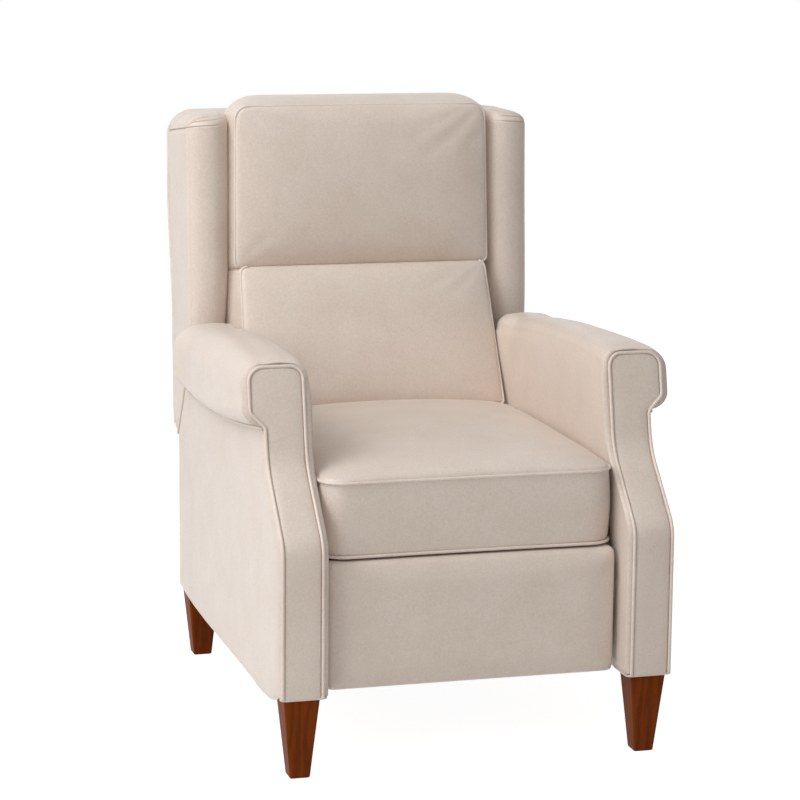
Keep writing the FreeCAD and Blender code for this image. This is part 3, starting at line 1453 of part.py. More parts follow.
def outside_back():
    """Cover over the rear of the back, hooked over its top to meet the head cushion."""
    thick = size.shell_thickness
    inner = [
        bottom_rear,
        *rear_line,
        (size.head_rear_depth, seam_height(size.head_rear_depth)),
    ]
    outer = [
        (size.head_rear_depth, size.shell_top_height),
        (size.shell_high_depth - 2 * thick, size.shell_top_height - thick / 2),
        (size.shell_high_depth - thick / 2, size.shell_top_height - 2 * thick),
        (size.shell_high_depth, size.shell_high_height),
        (size.shell_mid_depth, size.shell_mid_height),
        (size.shell_low_depth, size.shell_low_height),
        (size.shell_low_depth - thick, size.shell_bottom_height + thick / 2),
        (bottom_rear[0] + thick / 2, size.shell_bottom_height - thick / 2),
    ]
    places = [point(*place, -size.wing_half_width) for place in inner + outer]
    wire = Part.makePolygon(places + places[:1])
    solid = prism(wire, ACROSS * (2 * size.wing_half_width))
    return solid.common(rounded_top_prism())


def rounded_top_prism():
    """Everything inside the front view of the back, with its two rounded top corners."""
    half = size.wing_half_width
    top = size.shell_top_height
    corner = size.wing_corner_radius
    bend = 1 - math.sqrt(0.5)

    def at(across, height):
        return point(0, height, across)

    wire = Part.Wire([
        straight(at(-half, 0), at(half, 0)),
        straight(at(half, 0), at(half, top - corner)),
        through(at(half, top - corner), at(half - corner * bend, top - corner * bend),
                at(half - corner, top)),
        straight(at(half - corner, top), at(corner - half, top)),
        through(at(corner - half, top), at(corner * bend - half, top - corner * bend),
                at(-half, top - corner)),
        straight(at(-half, top - corner), at(-half, 0)),
    ])
    return prism(wire, BACKWARD * (2 * size.shell_high_depth))


keep("outside_back_panel", feature("outside_back_panel", outside_back()))


# Footrest pad, its four long edges rounded
def footrest_pad():
    pad = Part.makeBox(2 * size.footrest_half_width, size.footrest_pad_thickness,
                       size.footrest_top_height - size.footrest_bottom_height,
                       point(size.footrest_front, size.footrest_bottom_height,
                             -size.footrest_half_width))
    front = size.footrest_front - size.front_reach
    edges = []
    for edge in pad.Edges:
        low = edge.BoundBox
        if abs(low.YMin - front) < size.pin_clearance and abs(low.YMax - front) < size.pin_clearance:
            edges.append(edge)
    return pad.makeFillet(size.footrest_edge_radius, edges)


keep("footrest_pad", feature("footrest_pad", footrest_pad()))

doc.recompute()

# Every object and every finished piece is sound before anything is written
for piece in doc.Objects:
    if "Invalid" in piece.State or "Error" in piece.State:
        raise RuntimeError(f"{piece.Name} failed: {piece.State}")
for label, piece in nodes.items():
    shape = piece.Shape
    if shape.isNull() or not shape.isValid() or not shape.Solids:
        raise RuntimeError(f"{label} has no valid solid")
for label, piece in nodes.items():
    piece.Shape.exportStep(os.path.join("parts", label + ".step"))
    print(f"{label:26s} solids {len(piece.Shape.Solids)}  volume {piece.Shape.Volume / 1000:.1f} cm3")
print(len(nodes), "nodes")
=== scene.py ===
"""The looks of a push-back wing recliner in cream leather on chestnut legs.

Shapes are worked out in millimetres as (across, back, up): across is X, back is the depth behind
the front of the arms, and up is the height above the floor. Left is -X, as someone facing the
chair sees it.
"""
import bmesh
import bpy
import json
import math
import numpy as np
from mathutils import Matrix, Vector


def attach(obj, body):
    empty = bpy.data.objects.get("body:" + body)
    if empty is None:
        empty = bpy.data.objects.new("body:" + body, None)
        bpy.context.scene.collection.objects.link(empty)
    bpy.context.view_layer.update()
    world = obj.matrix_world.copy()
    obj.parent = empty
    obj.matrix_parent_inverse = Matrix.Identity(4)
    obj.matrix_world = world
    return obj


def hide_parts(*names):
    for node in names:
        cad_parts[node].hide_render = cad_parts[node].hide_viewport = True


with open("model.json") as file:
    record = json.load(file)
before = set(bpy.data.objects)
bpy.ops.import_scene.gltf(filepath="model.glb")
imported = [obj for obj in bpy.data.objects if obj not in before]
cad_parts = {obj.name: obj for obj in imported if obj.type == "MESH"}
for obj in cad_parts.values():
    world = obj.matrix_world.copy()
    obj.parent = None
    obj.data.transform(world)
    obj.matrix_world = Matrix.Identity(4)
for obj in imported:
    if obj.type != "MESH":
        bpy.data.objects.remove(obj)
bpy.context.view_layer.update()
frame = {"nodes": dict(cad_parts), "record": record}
scene = bpy.context.scene
scene.view_settings.view_transform = "Standard"

# Camera: a little left of the chair's front and a little above its arms, a long lens some five
# metres away, so that the front and the left side both show.
CAMERA_PLACE = (-1.41975935, -4.9433977, 1.52040857)
CAMERA_RIGHT = (0.96172132, -0.27385741, 0.00970729)
CAMERA_UP = (0.04157593, 0.18083564, 0.98263417)
CAMERA_LENS = 127.41
camera_data = bpy.data.cameras.new("camera")
camera_data.lens = CAMERA_LENS
camera_data.sensor_width = 36
camera = bpy.data.objects.new("camera", camera_data)
scene.collection.objects.link(camera)
right, up = Vector(CAMERA_RIGHT), Vector(CAMERA_UP)
turn = Matrix((right, up, right.cross(up))).transposed()
camera.matrix_world = Matrix.Translation(CAMERA_PLACE) @ turn.to_4x4()
scene.camera = camera


# Floor and background: plain white studio floor that takes the chair's soft shadow, and a white
# backdrop that the camera and polished parts see at full white.
def linear(text):
    """Linear colour of an sRGB hex text: the low end divided, the rest raised to the power 2.4."""
    values = np.array([int(text[i:i + 2], 16) for i in (1, 3, 5)]) / 255
    curved = np.where(values <= 0.04045, values / 12.92, ((values + 0.055) / 1.055) ** 2.4)
    return (*curved.tolist(), 1.0)


def set_inputs(node, inputs):
    """Give a node's inputs their values, or links from other nodes' outputs."""
    for name, value in inputs.items():
        if isinstance(value, bpy.types.NodeSocket):
            node.id_data.links.new(value, node.inputs[name])
        else:
            node.inputs[name].default_value = value


def add_node(tree, kind, inputs=None, **settings):
    """Add a shader node, set its own properties and its inputs, and return it."""
    made = tree.nodes.new("ShaderNode" + kind)
    for name, value in settings.items():
        setattr(made, name, value)
    set_inputs(made, inputs or {})
    return made


def split_by_ray(tree, lit, seen):
    """One shader for the light's own paths, and another that camera, glossy and transmission rays
    see."""
    path = add_node(tree, "LightPath").outputs
    direct = path["Is Camera Ray"]
    for kind in ("Is Glossy Ray", "Is Transmission Ray"):
        direct = add_node(tree, "Math", {0: direct, 1: path[kind]}, operation="MAXIMUM").outputs[0]
    inputs = {0: direct, 1: lit.outputs[0], 2: seen.outputs[0]}
    return add_node(tree, "MixShader", inputs).outputs[0]


STUDIO_FILL = 0.27
world = bpy.data.worlds.new("studio")
world.use_nodes = True
tree = world.node_tree
tree.nodes.clear()
fill = add_node(tree, "Background", {"Color": linear("#FBFAF8"), "Strength": STUDIO_FILL})
white = add_node(tree, "Background", {"Color": linear("#FFFFFF"), "Strength": 1.0})
add_node(tree, "OutputWorld", {"Surface": split_by_ray(tree, fill, white)})
scene.world = world

FLOOR_HALF = 7.0
FLOOR_GLOW = 0.95
floor_mesh = bpy.data.meshes.new("floor")
corners = [(FLOOR_HALF * x, FLOOR_HALF * y, 0) for x, y in ((-1, -1), (1, -1), (1, 1), (-1, 1))]
floor_mesh.from_pydata(corners, [], [(0, 1, 2, 3)])
floor = bpy.data.objects.new("floor", floor_mesh)
scene.collection.objects.link(floor)
floor_paint = bpy.data.materials.new("matt_white_floor")
floor_paint.use_nodes = True
tree = floor_paint.node_tree
tree.nodes.clear()
paint = add_node(tree, "BsdfDiffuse", {"Color": linear("#F4F3F1")})
shadow = add_node(tree, "BsdfDiffuse", {"Color": linear("#9C9A98")})
glow = add_node(tree, "Emission", {"Color": linear("#FFFFFF"), "Strength": FLOOR_GLOW})
seen = add_node(tree, "AddShader", {0: shadow.outputs[0], 1: glow.outputs[0]})
add_node(tree, "OutputMaterial", {"Surface": split_by_ray(tree, paint, seen)})
floor_mesh.materials.append(floor_paint)

# Lamps: a large soft key from the front left, one from the left, two high ones on the left that
# light the arm tops and the seat, and two weak broad ones from the front that open the shadows.
LAMP_AIM = Vector((0, 0, 0.55))
LAMPS = (
    # name, place, width in metres, power in watts
    ("key", (-3.3, -2.6, 2.3), 2.2, 36.0),
    ("left", (-4.0, -0.6, 2.2), 2.0, 20.0),
    ("high_left", (-2.6, -0.4, 3.6), 1.6, 56.0),
    ("over_left", (-1.3, -1.3, 4.2), 1.6, 32.0),
    ("high_front", (-0.6, -3.0, 3.4), 2.0, 8.0),
    ("front", (0.4, -4.2, 1.4), 2.6, 4.0),
)
for name, place, width, power in LAMPS:
    lamp_data = bpy.data.lights.new(name, "AREA")
    lamp_data.size = width
    lamp_data.energy = power
    lamp = bpy.data.objects.new(name, lamp_data)
    lamp.location = place
    lamp.rotation_euler = (LAMP_AIM - Vector(place)).to_track_quat("-Z", "Y").to_euler()
    scene.collection.objects.link(lamp)

# Legs: four solid beech blocks, planed to a taper, their edges eased and stained chestnut under a
# satin lacquer. Each is screwed to a block in the base with a hanger bolt.
MM = 0.001
ARM_FRONT = 502
LEG_HEIGHT = 147
LEG_HALVES = (17.5, 32.0)
LEG_EDGE = 3.0
LEG_POINTS = 64
LEG_CENTRES = {
    "front_left_leg": (-310, 37),
    "front_right_leg": (310, 37),
    "rear_left_leg": (-310, 828),
    "rear_right_leg": (310, 828),
}


def make_piece(name, places, faces, material, slot, body, nodes=()):
    """A mesh object from places in millimetres, in its body, standing for its CAD nodes."""
    row = (np.asarray(places, float).reshape(-1, 3) - (0, ARM_FRONT, 0)) * MM
    mesh = bpy.data.meshes.new(name)
    mesh.from_pydata(row.tolist(), [], faces)
    work = bmesh.new()
    work.from_mesh(mesh)
    bmesh.ops.remove_doubles(work, verts=work.verts, dist=1e-6)
    bmesh.ops.recalc_face_normals(work, faces=work.faces)
    work.to_mesh(mesh)
    work.free()
    mesh.shade_smooth()
    mesh.materials.append(material)
    piece = bpy.data.objects.new(name, mesh)
    scene.collection.objects.link(piece)
    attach(piece, body)
    if nodes:
        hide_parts(*nodes)
    return piece


def grid_faces(rows, columns, wrap=False, first=0):
    """Quads between neighbouring rows and columns of a grid, joined round if wrap is true."""
    index = first + np.arange(rows * columns).reshape(rows, columns)
    if wrap:
        index = np.concatenate([index, index[:, :1]], axis=1)
    quads = np.stack([index[:-1, :-1], index[:-1, 1:], index[1:, 1:], index[1:, :-1]], axis=-1)
    return quads.reshape(-1, 4).tolist()


def shell_faces(rows, columns, first=0):
    """Faces of a tube of rings closed by a face over its first and over its last ring."""
    last = first + (rows - 1) * columns
    ends = [list(range(first + columns - 1, first - 1, -1)), list(range(last, last + columns))]
    return grid_faces(rows, columns, True, first) + ends


def tube(rings):
    """Places and faces of a tube of rings with its ends closed."""
    return rings, shell_faces(len(rings), len(rings[0]))


def spots(across, back, up):
    """Places (across, back, up) from arrays or numbers that are spread over one grid."""
    return np.stack(np.broadcast_arrays(across, back, up), axis=-1)


def resampled(points, count, closed=True):
    """A polyline divided again into equal steps, by linear interpolation on its length."""
    points = np.asarray(points, float)
    if closed:
        points = np.concatenate([points, points[:1]])
    steps = np.linalg.norm(np.diff(points, axis=0), axis=1)
    length = np.concatenate([[0], np.cumsum(steps)])
    at = np.linspace(0, length[-1], count, endpoint=not closed)
    return np.stack([np.interp(at, length, points[:, k]) for k in range(points.shape[1])], axis=1)


def arc(across, up, radius, angles):
    """Points of a circle about (across, up) at angles."""
    return np.stack([across + radius * np.cos(angles), up + radius * np.sin(angles)], axis=1)


def rounded_outline(half_low, half_high, length, radius_low, radius_high, count):
    """Outline of a trapezium with round corners: four quarter circles joined by straight sides.

    Its low side is centred on (0, 0) and its high side on (0, length); it starts at (0, 0).
    """
    quarter = np.linspace(0, math.pi / 2, 10)
    corners = (
        (half_low - radius_low, radius_low, radius_low, -math.pi / 2),
        (half_high - radius_high, length - radius_high, radius_high, 0),
        (radius_high - half_high, length - radius_high, radius_high, math.pi / 2),
        (radius_low - half_low, radius_low, radius_low, math.pi),
    )
    arcs = [arc(x, y, r, quarter + a) for x, y, r, a in corners]
    return resampled(np.concatenate([[(0, 0)], *arcs]), count)


def new_material(name):
    """A material, its node tree, its shader, and the object coordinates for its patterns."""
    material = bpy.data.materials.new(name)
    material.use_nodes = True
    tree = material.node_tree
    place = add_node(tree, "TexCoord").outputs["Object"]
    return material, tree, tree.nodes["Principled BSDF"], place


def noise(tree, vector, scale, detail, roughness=0.5):
    """Outputs of a noise pattern."""
    return add_node(tree, "TexNoise", {"Vector": vector, "Scale": scale, "Detail": detail,
                                       "Roughness": roughness}).outputs


def mixed_share(tree, factor, first, second):
    """Two shares mixed by a factor."""
    inputs = {"Factor": factor, "A": first, "B": second}
    return add_node(tree, "Mix", inputs, data_type="FLOAT").outputs[0]


def spread(tree, value, low, high):
    """A share stretched from 0 and 1 to two other values."""
    return add_node(tree, "MapRange", {"Value": value, "To Min": low, "To Max": high}).outputs[0]


def two_tones(tree, share, dark, light, ends=(0, 1)):
    """Colour that runs from a dark tone to a light one between two ends of a share."""
    ramp = add_node(tree, "ValToRGB", {"Fac": share})
    for element, end, tone in zip(ramp.color_ramp.elements, ends, (dark, light)):
        element.position = end
        element.color = tone
    return ramp.outputs[0]


def bumped(tree, height, strength, distance, **normal):
    """Normal tilted by a height, on top of another normal where one is given."""
    inputs = {"Height": height, "Strength": strength, "Distance": distance, **normal}
    return add_node(tree, "Bump", inputs).outputs[0]


def stained_wood(name, base, dark, grain_mm, gloss):
    """Wood with growth rings cut along the grain, fine pores, and a clear satin lacquer."""
    material, tree, shader, place = new_material(name)
    along = add_node(tree, "Mapping", {"Vector": place, "Rotation": (0.06, 0.04, 0),
                                       "Scale": (1, 1, 0.09)}).outputs[0]
    rings = add_node(tree, "TexWave", {"Vector": along, "Scale": 1000 / grain_mm / 6,
                                       "Distortion": 7.0, "Detail": 4.0, "Detail Scale": 1.6,
                                       "Detail Roughness": 0.6},
                     wave_type="BANDS", bands_direction="DIAGONAL")
    pores = noise(tree, along, 900.0, 3.0, 0.6)["Fac"]
    patches = noise(tree, place, 14.0, 2.0)["Fac"]
    share = mixed_share(tree, 0.3, mixed_share(tree, 0.6, rings.outputs["Fac"], pores), patches)
    colour = two_tones(tree, share, linear(dark), linear(base), (0.15, 0.8))
    set_inputs(shader, {"Base Color": colour,
                        "Roughness": spread(tree, pores, gloss - 0.06, gloss + 0.1),
                        "Normal": bumped(tree, share, 0.18, 0.0006), "IOR": 1.4})
    return material


# The stain is darkest in the pores; the lacquer gives a low, even shine
chestnut = stained_wood("chestnut_stained_beech", "#803A04", "#562202", 4.0, 0.5)
set_inputs(chestnut.node_tree.nodes["Principled BSDF"], {"Specular IOR Level": 0.12})
for name, (across, back) in LEG_CENTRES.items():
    heights = np.array([0, 0.6, 2, *np.linspace(6, LEG_HEIGHT - 2, 14), LEG_HEIGHT])
    halves = np.interp(heights, (0, LEG_HEIGHT), LEG_HALVES)
    halves[:3] -= (1.6, 0.7, 0)
    rings = []
    for half, height in zip(halves, heights):
        ring = rounded_outline(half, half, 2 * half, LEG_EDGE, LEG_EDGE, LEG_POINTS)
        rings.append(spots(ring[:, 0] + across, ring[:, 1] - half + back, height))
    make_piece(name + "_turned", *tube(rings), chestnut, "chestnut_wood", "base", [name])

# Leather: cream aniline-dyed cowhide, pigmented and finished satin. It has a fine pebble grain,
# soft cloudy changes of tone, and a slightly warmer, duller hand where the hide is looser.
GRAIN_MM = 2.3            # real pebbles are about 1 mm, drawn coarser so that they show
CLOUD_MM = 90.0


def grained_leather(name, light, dark, roughness):
    """Leather: pebbles from a cell pattern with painted shade in their valleys, pores and creases
    from noise, cloudy colour.
    """
    material, tree, shader, place = new_material(name)
    clouds = noise(tree, place, 1000 / CLOUD_MM, 5.0, 0.62)["Fac"]
    speckle = noise(tree, place, 1000 / (GRAIN_MM * 1.6), 3.0, 0.7)
    shift = {0: speckle["Color"], 1: (0.0009, 0.0009, 0.0009), 2: place}
    wobble = add_node(tree, "VectorMath", shift, operation="MULTIPLY_ADD")
    pebbles = add_node(tree, "TexVoronoi", {"Vector": wobble.outputs[0], "Scale": 1000 / GRAIN_MM},
                       feature="DISTANCE_TO_EDGE")
    grain = add_node(tree, "MapRange", {"Value": pebbles.outputs["Distance"], "From Max": 0.28},
                     interpolation_type="SMOOTHSTEP").outputs[0]
    tone = mixed_share(tree, 0.62, clouds, speckle["Fac"])
    colour = two_tones(tree, tone, linear(dark), linear(light), (0.36, 0.64))
    # painted shade: the colour is darkened by up to an eighth in the valleys between the pebbles
    shading = {"Factor": 0.5, "A": colour, "B": spread(tree, grain, 0.88, 1.0)}
    painted_valley_shade = add_node(tree, "Mix", shading, data_type="RGBA", blend_type="MULTIPLY")
    dull = add_node(tree, "MapRange", {"Value": tone, "From Min": 0.3, "From Max": 0.7,
                                       "To Min": roughness + 0.07, "To Max": roughness - 0.05})
    soft = bumped(tree, clouds, 0.1, 0.004)
    set_inputs(shader, {"Base Color": painted_valley_shade.outputs["Result"], "Roughness": dull.outputs[0],
                        "Normal": bumped(tree, grain, 0.28, 0.00035, Normal=soft), "IOR": 1.5,
                        "Sheen Weight": 0.12, "Sheen Roughness": 0.45, "Coat Weight": 0.08,
                        "Coat Roughness": 0.4})
    return material


leather = grained_leather("cream_pigmented_leather", "#E5D7CC", "#D8C8BB", 0.36)
# The welts are the same hide pulled round a cord, in a paler copy whose paleness is a painted
# highlight along the cords
welt_leather_painted_highlight = grained_leather("cream_leather_welt_painted_highlight", "#EADDD3", "#DDCDC1", 0.42)
WELT_POINTS = 12
SIDES = (("left", -1), ("right", 1))


def leather_piece(name, places, faces, body, nodes=(), fill=None):
    """A piece of the leather. The fill argument, its share of filling, is not used."""
    piece = make_piece(name, places, faces, leather, "cream_leather", body, nodes)
    return piece


def slab(outer, inner):
    """Places and faces of a closed slab between two grids of the same size, its rims joined."""
    rows, columns = outer.shape[:2]
    size = rows * columns
    index = np.arange(size).reshape(rows, columns)
    rim = np.concatenate([index[0, :-1], index[:-1, -1], index[-1, :0:-1], index[:0:-1, 0]])
    after = np.roll(rim, -1)
    walls = np.stack([rim, after, after + size, rim + size], axis=1).tolist()
    places = np.concatenate([outer.reshape(-1, 3), inner.reshape(-1, 3)])
    return places, grid_faces(rows, columns) + grid_faces(rows, columns, first=size) + walls


def cord_path_frames(path, closed):
    """Two unit vectors across a path at each point, from its tangent and one steady direction."""
    ahead = np.roll(path, -1, 0) - np.roll(path, 1, 0)
    if not closed:
        ahead[0] = path[1] - path[0]
        ahead[-1] = path[-1] - path[-2]
    ahead /= np.linalg.norm(ahead, axis=1)[:, None]
    steady = np.linalg.svd(path - path.mean(0))[2][-1]
    beside = np.cross(ahead, steady)
    beside /= np.linalg.norm(beside, axis=1)[:, None]
    return beside, np.cross(beside, ahead)


def welt(name, path, radius, body, nodes=(), closed=False, step=5.0):
    """Leather welt: a circle carried along a path, with its sewn flange hidden in the seam."""
    length = np.linalg.norm(np.diff(np.asarray(path, float), axis=0), axis=1).sum()
    path = resampled(path, max(8, int(length / step)), closed)
    beside, over = cord_path_frames(path, closed)
    angle = np.linspace(0, 2 * math.pi, WELT_POINTS, endpoint=False)[:, None]
    way = beside[:, None] * np.cos(angle) + over[:, None] * np.sin(angle)
    rings = path[:, None] + radius * way
    if closed:
        rings = np.concatenate([rings, rings[:1]])
        faces = grid_faces(len(rings), WELT_POINTS, True)
    else:
        faces = shell_faces(len(rings), WELT_POINTS)
    return make_piece(name, rings, faces, welt_leather_painted_highlight, "cream_leather", body, nodes)


# Arm fronts: a padded strip of leather over each front post, which follows the post's S-curve,
# with a welt sewn all round its edge.
KNEE = (385, 50)
SLOPE = (45, 109)
UPPER = (115, 12)
ARM_INNER = 273
ARM_OUTER = 346
ARM_SWELL = 7
ROLL_OVERHANG = 29
ARM_TOP = 695
NECK = (582, 12)
ROLL_RADII = (25, 28)


def s_curve():
    """Depth and height along the arm's front: upright, a bend out, a straight slope, a bend back,
    and a straight lean to the top."""
    bend = np.radians(np.linspace(0, SLOPE[0], 12))
    knee = arc(KNEE[1], KNEE[0], KNEE[1], math.pi - bend)
    start = knee[-1] + SLOPE[1] * np.array([math.sin(bend[-1]), math.cos(bend[-1])])
    back = np.radians(np.linspace(SLOPE[0], UPPER[1], 12))
    middle = start + UPPER[0] * np.array([-math.cos(back[0]), math.sin(back[0])])
    upper = arc(*middle, UPPER[0], -back)
    rise = 2 * ARM_TOP - upper[-1][1]
    last = upper[-1] + np.array([math.tan(back[-1]) * rise, rise])
    return np.concatenate([[(0, -100)], knee, upper, [last]])


S_CURVE = s_curve()


def arm_front_back(height):
    """Depth of the arm's front at a height, by interpolation on the S-curve."""
    return np.interp(height, S_CURVE[:, 1], S_CURVE[:, 0])


def arm_front_normal(height):
    """Unit direction out of the arm's front at a height, in (back, up), from the curve's slope."""
    slope = (arm_front_back(height + 1) - arm_front_back(height - 1)) / 2
    size = np.sqrt(1 + slope ** 2)
    return -1 / size, slope / size


ARM_FRONT_LOW = 143
FRONT_TOP_DROP = 5.5
FRONT_POST_SPREAD = 2.0
FRONT_ROLL_DRAW = 1.5


def arm_front_outline(inset, foot_inset):
    """Outline of an arm front seen from in front, drawn in all round: (across, up)."""
    outer, inner = ARM_OUTER + FRONT_POST_SPREAD - inset, ARM_INNER + inset
    neck, radius = NECK[0] - inset / 2, NECK[1]
    eighth = np.radians(np.linspace(0, 45, 8))
    out = arc(outer + radius, neck, radius, math.pi - eighth)
    overhang = ROLL_OVERHANG - FRONT_POST_SPREAD - FRONT_ROLL_DRAW
    rise = out[-1][1] + overhang - 2 * (out[-1][0] - outer)
    roll = outer + overhang
    back = arc(roll - radius, rise + radius * math.sin(eighth[-1]), radius, -eighth[::-1])
    quarter = np.linspace(0, math.pi / 2, 10)
    round_in, round_out = ROLL_RADII[0] - inset, ROLL_RADII[1] - inset
    top = ARM_TOP - FRONT_TOP_DROP - inset
    outer_top = arc(roll - round_out, top - round_out, round_out, quarter)
    inner_top = arc(inner + round_in, top - round_in, round_in, quarter + math.pi / 2)
    low = ARM_FRONT_LOW + foot_inset
    return np.concatenate([[(outer, low)], out, back, outer_top, inner_top, [(inner, low)]])


def end_weighted(count):
    """Shares from 0 to 1 by a cosine, closer together at both ends."""
    return (1 - np.cos(np.linspace(0, math.pi, count))) / 2


def nearest(*distances):
    """The least of several distances at each point of a grid."""
    return np.minimum.reduce(np.broadcast_arrays(*distances))


def ramp(value, start, end):
    """Share of the way from start to end, held between 0 and 1."""
    return np.clip((value - start) / (end - start), 0, 1)


def rim_drop(distance, width, depth, full=0.999):
    """How far a face is turned in at a distance from its rim: a quarter ellipse of a width and a
    depth, cut a little short of upright unless full is 1."""
    return depth * (1 - np.sqrt(1 - full * (1 - ramp(distance, 0, width)) ** 2))


FIELD_INSET = 5.6
FIELD_CROWN = 2.5
FIELD_DEPTH = 14.0
FIELD_EDGE = 4.5
FIELD_DROP = 2.0
FIELD_FOOT = 1.5


def arm_front_field(sign):
    """The padded field: rows between its inner and outer edges, rounded at the rim and crowned.

    The front stands out of the S-curve by crown times one minus the share from its middle to its
    edge to the fourth, and drops by a quarter ellipse at its rim. The rear is a plain copy of the
    S-curve behind it.
    """
    outline = arm_front_outline(FIELD_INSET, FIELD_FOOT)
    top, low = outline[:, 1].max(), outline[:, 1].min()
    level = low + (top - low) * end_weighted(150)[:, None]
    outside = outline[:, 0] > (ARM_INNER + ARM_OUTER) / 2
    edges = []
    for line in (outline[~outside], outline[outside]):
        line = line[np.argsort(line[:, 1])]
        edges.append(np.interp(level, line[:, 1], line[:, 0]))
    inner, outer = edges
    share = end_weighted(34)
    across = inner + (outer - inner) * share
    rim = nearest(across - inner, outer - across, level - low, top - level)
    proud = FIELD_CROWN * (1 - (2 * share - 1) ** 4) - rim_drop(rim, FIELD_EDGE, FIELD_DROP, 1)
    back_way, up_way = arm_front_normal(level)
    depth = arm_front_back(level)
    front = spots(sign * across, depth + back_way * proud, level + up_way * proud)
    return slab(front, spots(sign * across, depth + FIELD_DEPTH, level))


FRONT_WELT_INSET = 2.9
FRONT_WELT_PROUD = 0.8
# across, back and up of the hem under an arm front, from its outer side round to the inner arm
FRONT_HEM = np.array([(ARM_OUTER + 1.5, 9, 1.2), (ARM_OUTER - 1.5, 2.2, 0.6),
                      (ARM_OUTER - 6, 0.8, 0.6), (ARM_INNER + 4, 0.8, 0.6),
                      (ARM_INNER - 3.5, 3.5, 0.8), (ARM_INNER - 5.5, 14, 1.5),
                      (ARM_INNER - 5.5, 60, 2)]) + (0, 0, ARM_FRONT_LOW)
for side, sign in SIDES:
    leather_piece(f"{side}_arm_front_panel_padded", *arm_front_field(sign), "base",
                  [f"{side}_arm_front_panel"], 0.9)
    across, level = resampled(arm_front_outline(FRONT_WELT_INSET, 1.0), 500, False).T
    back_way, up_way = arm_front_normal(level)
    path = spots(sign * across, arm_front_back(level) + back_way * FRONT_WELT_PROUD,
                 level + up_way * FRONT_WELT_PROUD)
    welt(f"{side}_arm_front_piping", path, 2.9, "base", [f"{side}_arm_front_welt"])
    hem_path = resampled(FRONT_HEM * (sign, 1, 1), 60, False)
    welt(f"{side}_arm_front_hem", hem_path, 2.0, "base", step=3.0)

# Arms: one leather cover from the bottom of the inner arm, over the rolled top to the fold under
# the roll, stretched over foam and stapled to the arm board along the fold.
ARM_LENGTH = 772
ARM_STATIONS = np.array([
    # share of the length, of the overhang, of the fold's drop, of the top's fall, swell, rounding
    (0.0, 0.97, 1.0, 0.18, 1.0, 1.1),
    (0.03, 1.08, 1.0, 0.13, 1.0, 1.15),
    (0.155, 1.26, 1.0, -0.02, 1.0, 1.3),
    (0.3, 1.3, 0.62, -0.09, 1.0, 1.7),
    (0.453, 1.32, 0.25, -0.06, 1.0, 2.1),
    (0.65, 1.24, 0.0, 0.15, 1.0, 2.2),
    (0.84, 1.0, -0.12, 0.64, 0.9, 1.9),
    (0.985, 0.84, 0.1, 1.23, 0.7, 1.6),
    (1.0, 0.5, 0.1, 1.5, -0.4, 1.5),
])
FOLD = (549, 588)
ARM_TOP_FALL = 35
UNDER_RISE = 32
LINING_LOW = 405
LINING_FOOT = 145
LINING_CUT = (0.1, 0.13)     # the lining runs to the hem beside the front post only
LINING_SWELL = 4.5
LINING_THICKNESS = 8
BOARD_OUTER = 330
BOARD_CEILING = 600
HIDDEN_STEPS = (4, 6, 6, 10, 3)
ARM_CROWN = 2.0
CROWNED_SHARE = 0.1
SLANTED_SHARE = 0.12
ARM_SKIN_START = 2.0
NOSE_FALL, NOSE_LENGTH = 6.2, 52.0
NOSE_HEIGHTS = (590, 650)
NOSE_OUTSIDE = (345, 360)
NOSE_DRAW, REAR_DRAW = 0.4, 9.0     # how far the ends are drawn in, at 60 mm from the middle
ROLL_MIDDLE = (320.0, 620.0)
FOLDED_EDGE = 310
FOLDED_SHARES = (0.02, 0.4, 0.8)
ARM_ROWS = 150


def eased(at, stations, values):
    """Smooth curve through stations: cubic pieces whose slopes are those of their neighbours."""
    slopes = np.gradient(values, stations)
    k = np.clip(np.searchsorted(stations, at, side="right") - 1, 0, len(stations) - 2)
    span = stations[k + 1] - stations[k]
    t = np.clip((at - stations[k]) / span, 0, 1)
    return ((2 * t ** 3 - 3 * t ** 2 + 1) * values[k] + (t ** 3 - 2 * t ** 2 + t) * span * slopes[k]
            + (3 * t ** 2 - 2 * t ** 3) * values[k + 1] + (t ** 3 - t ** 2) * span * slopes[k + 1])


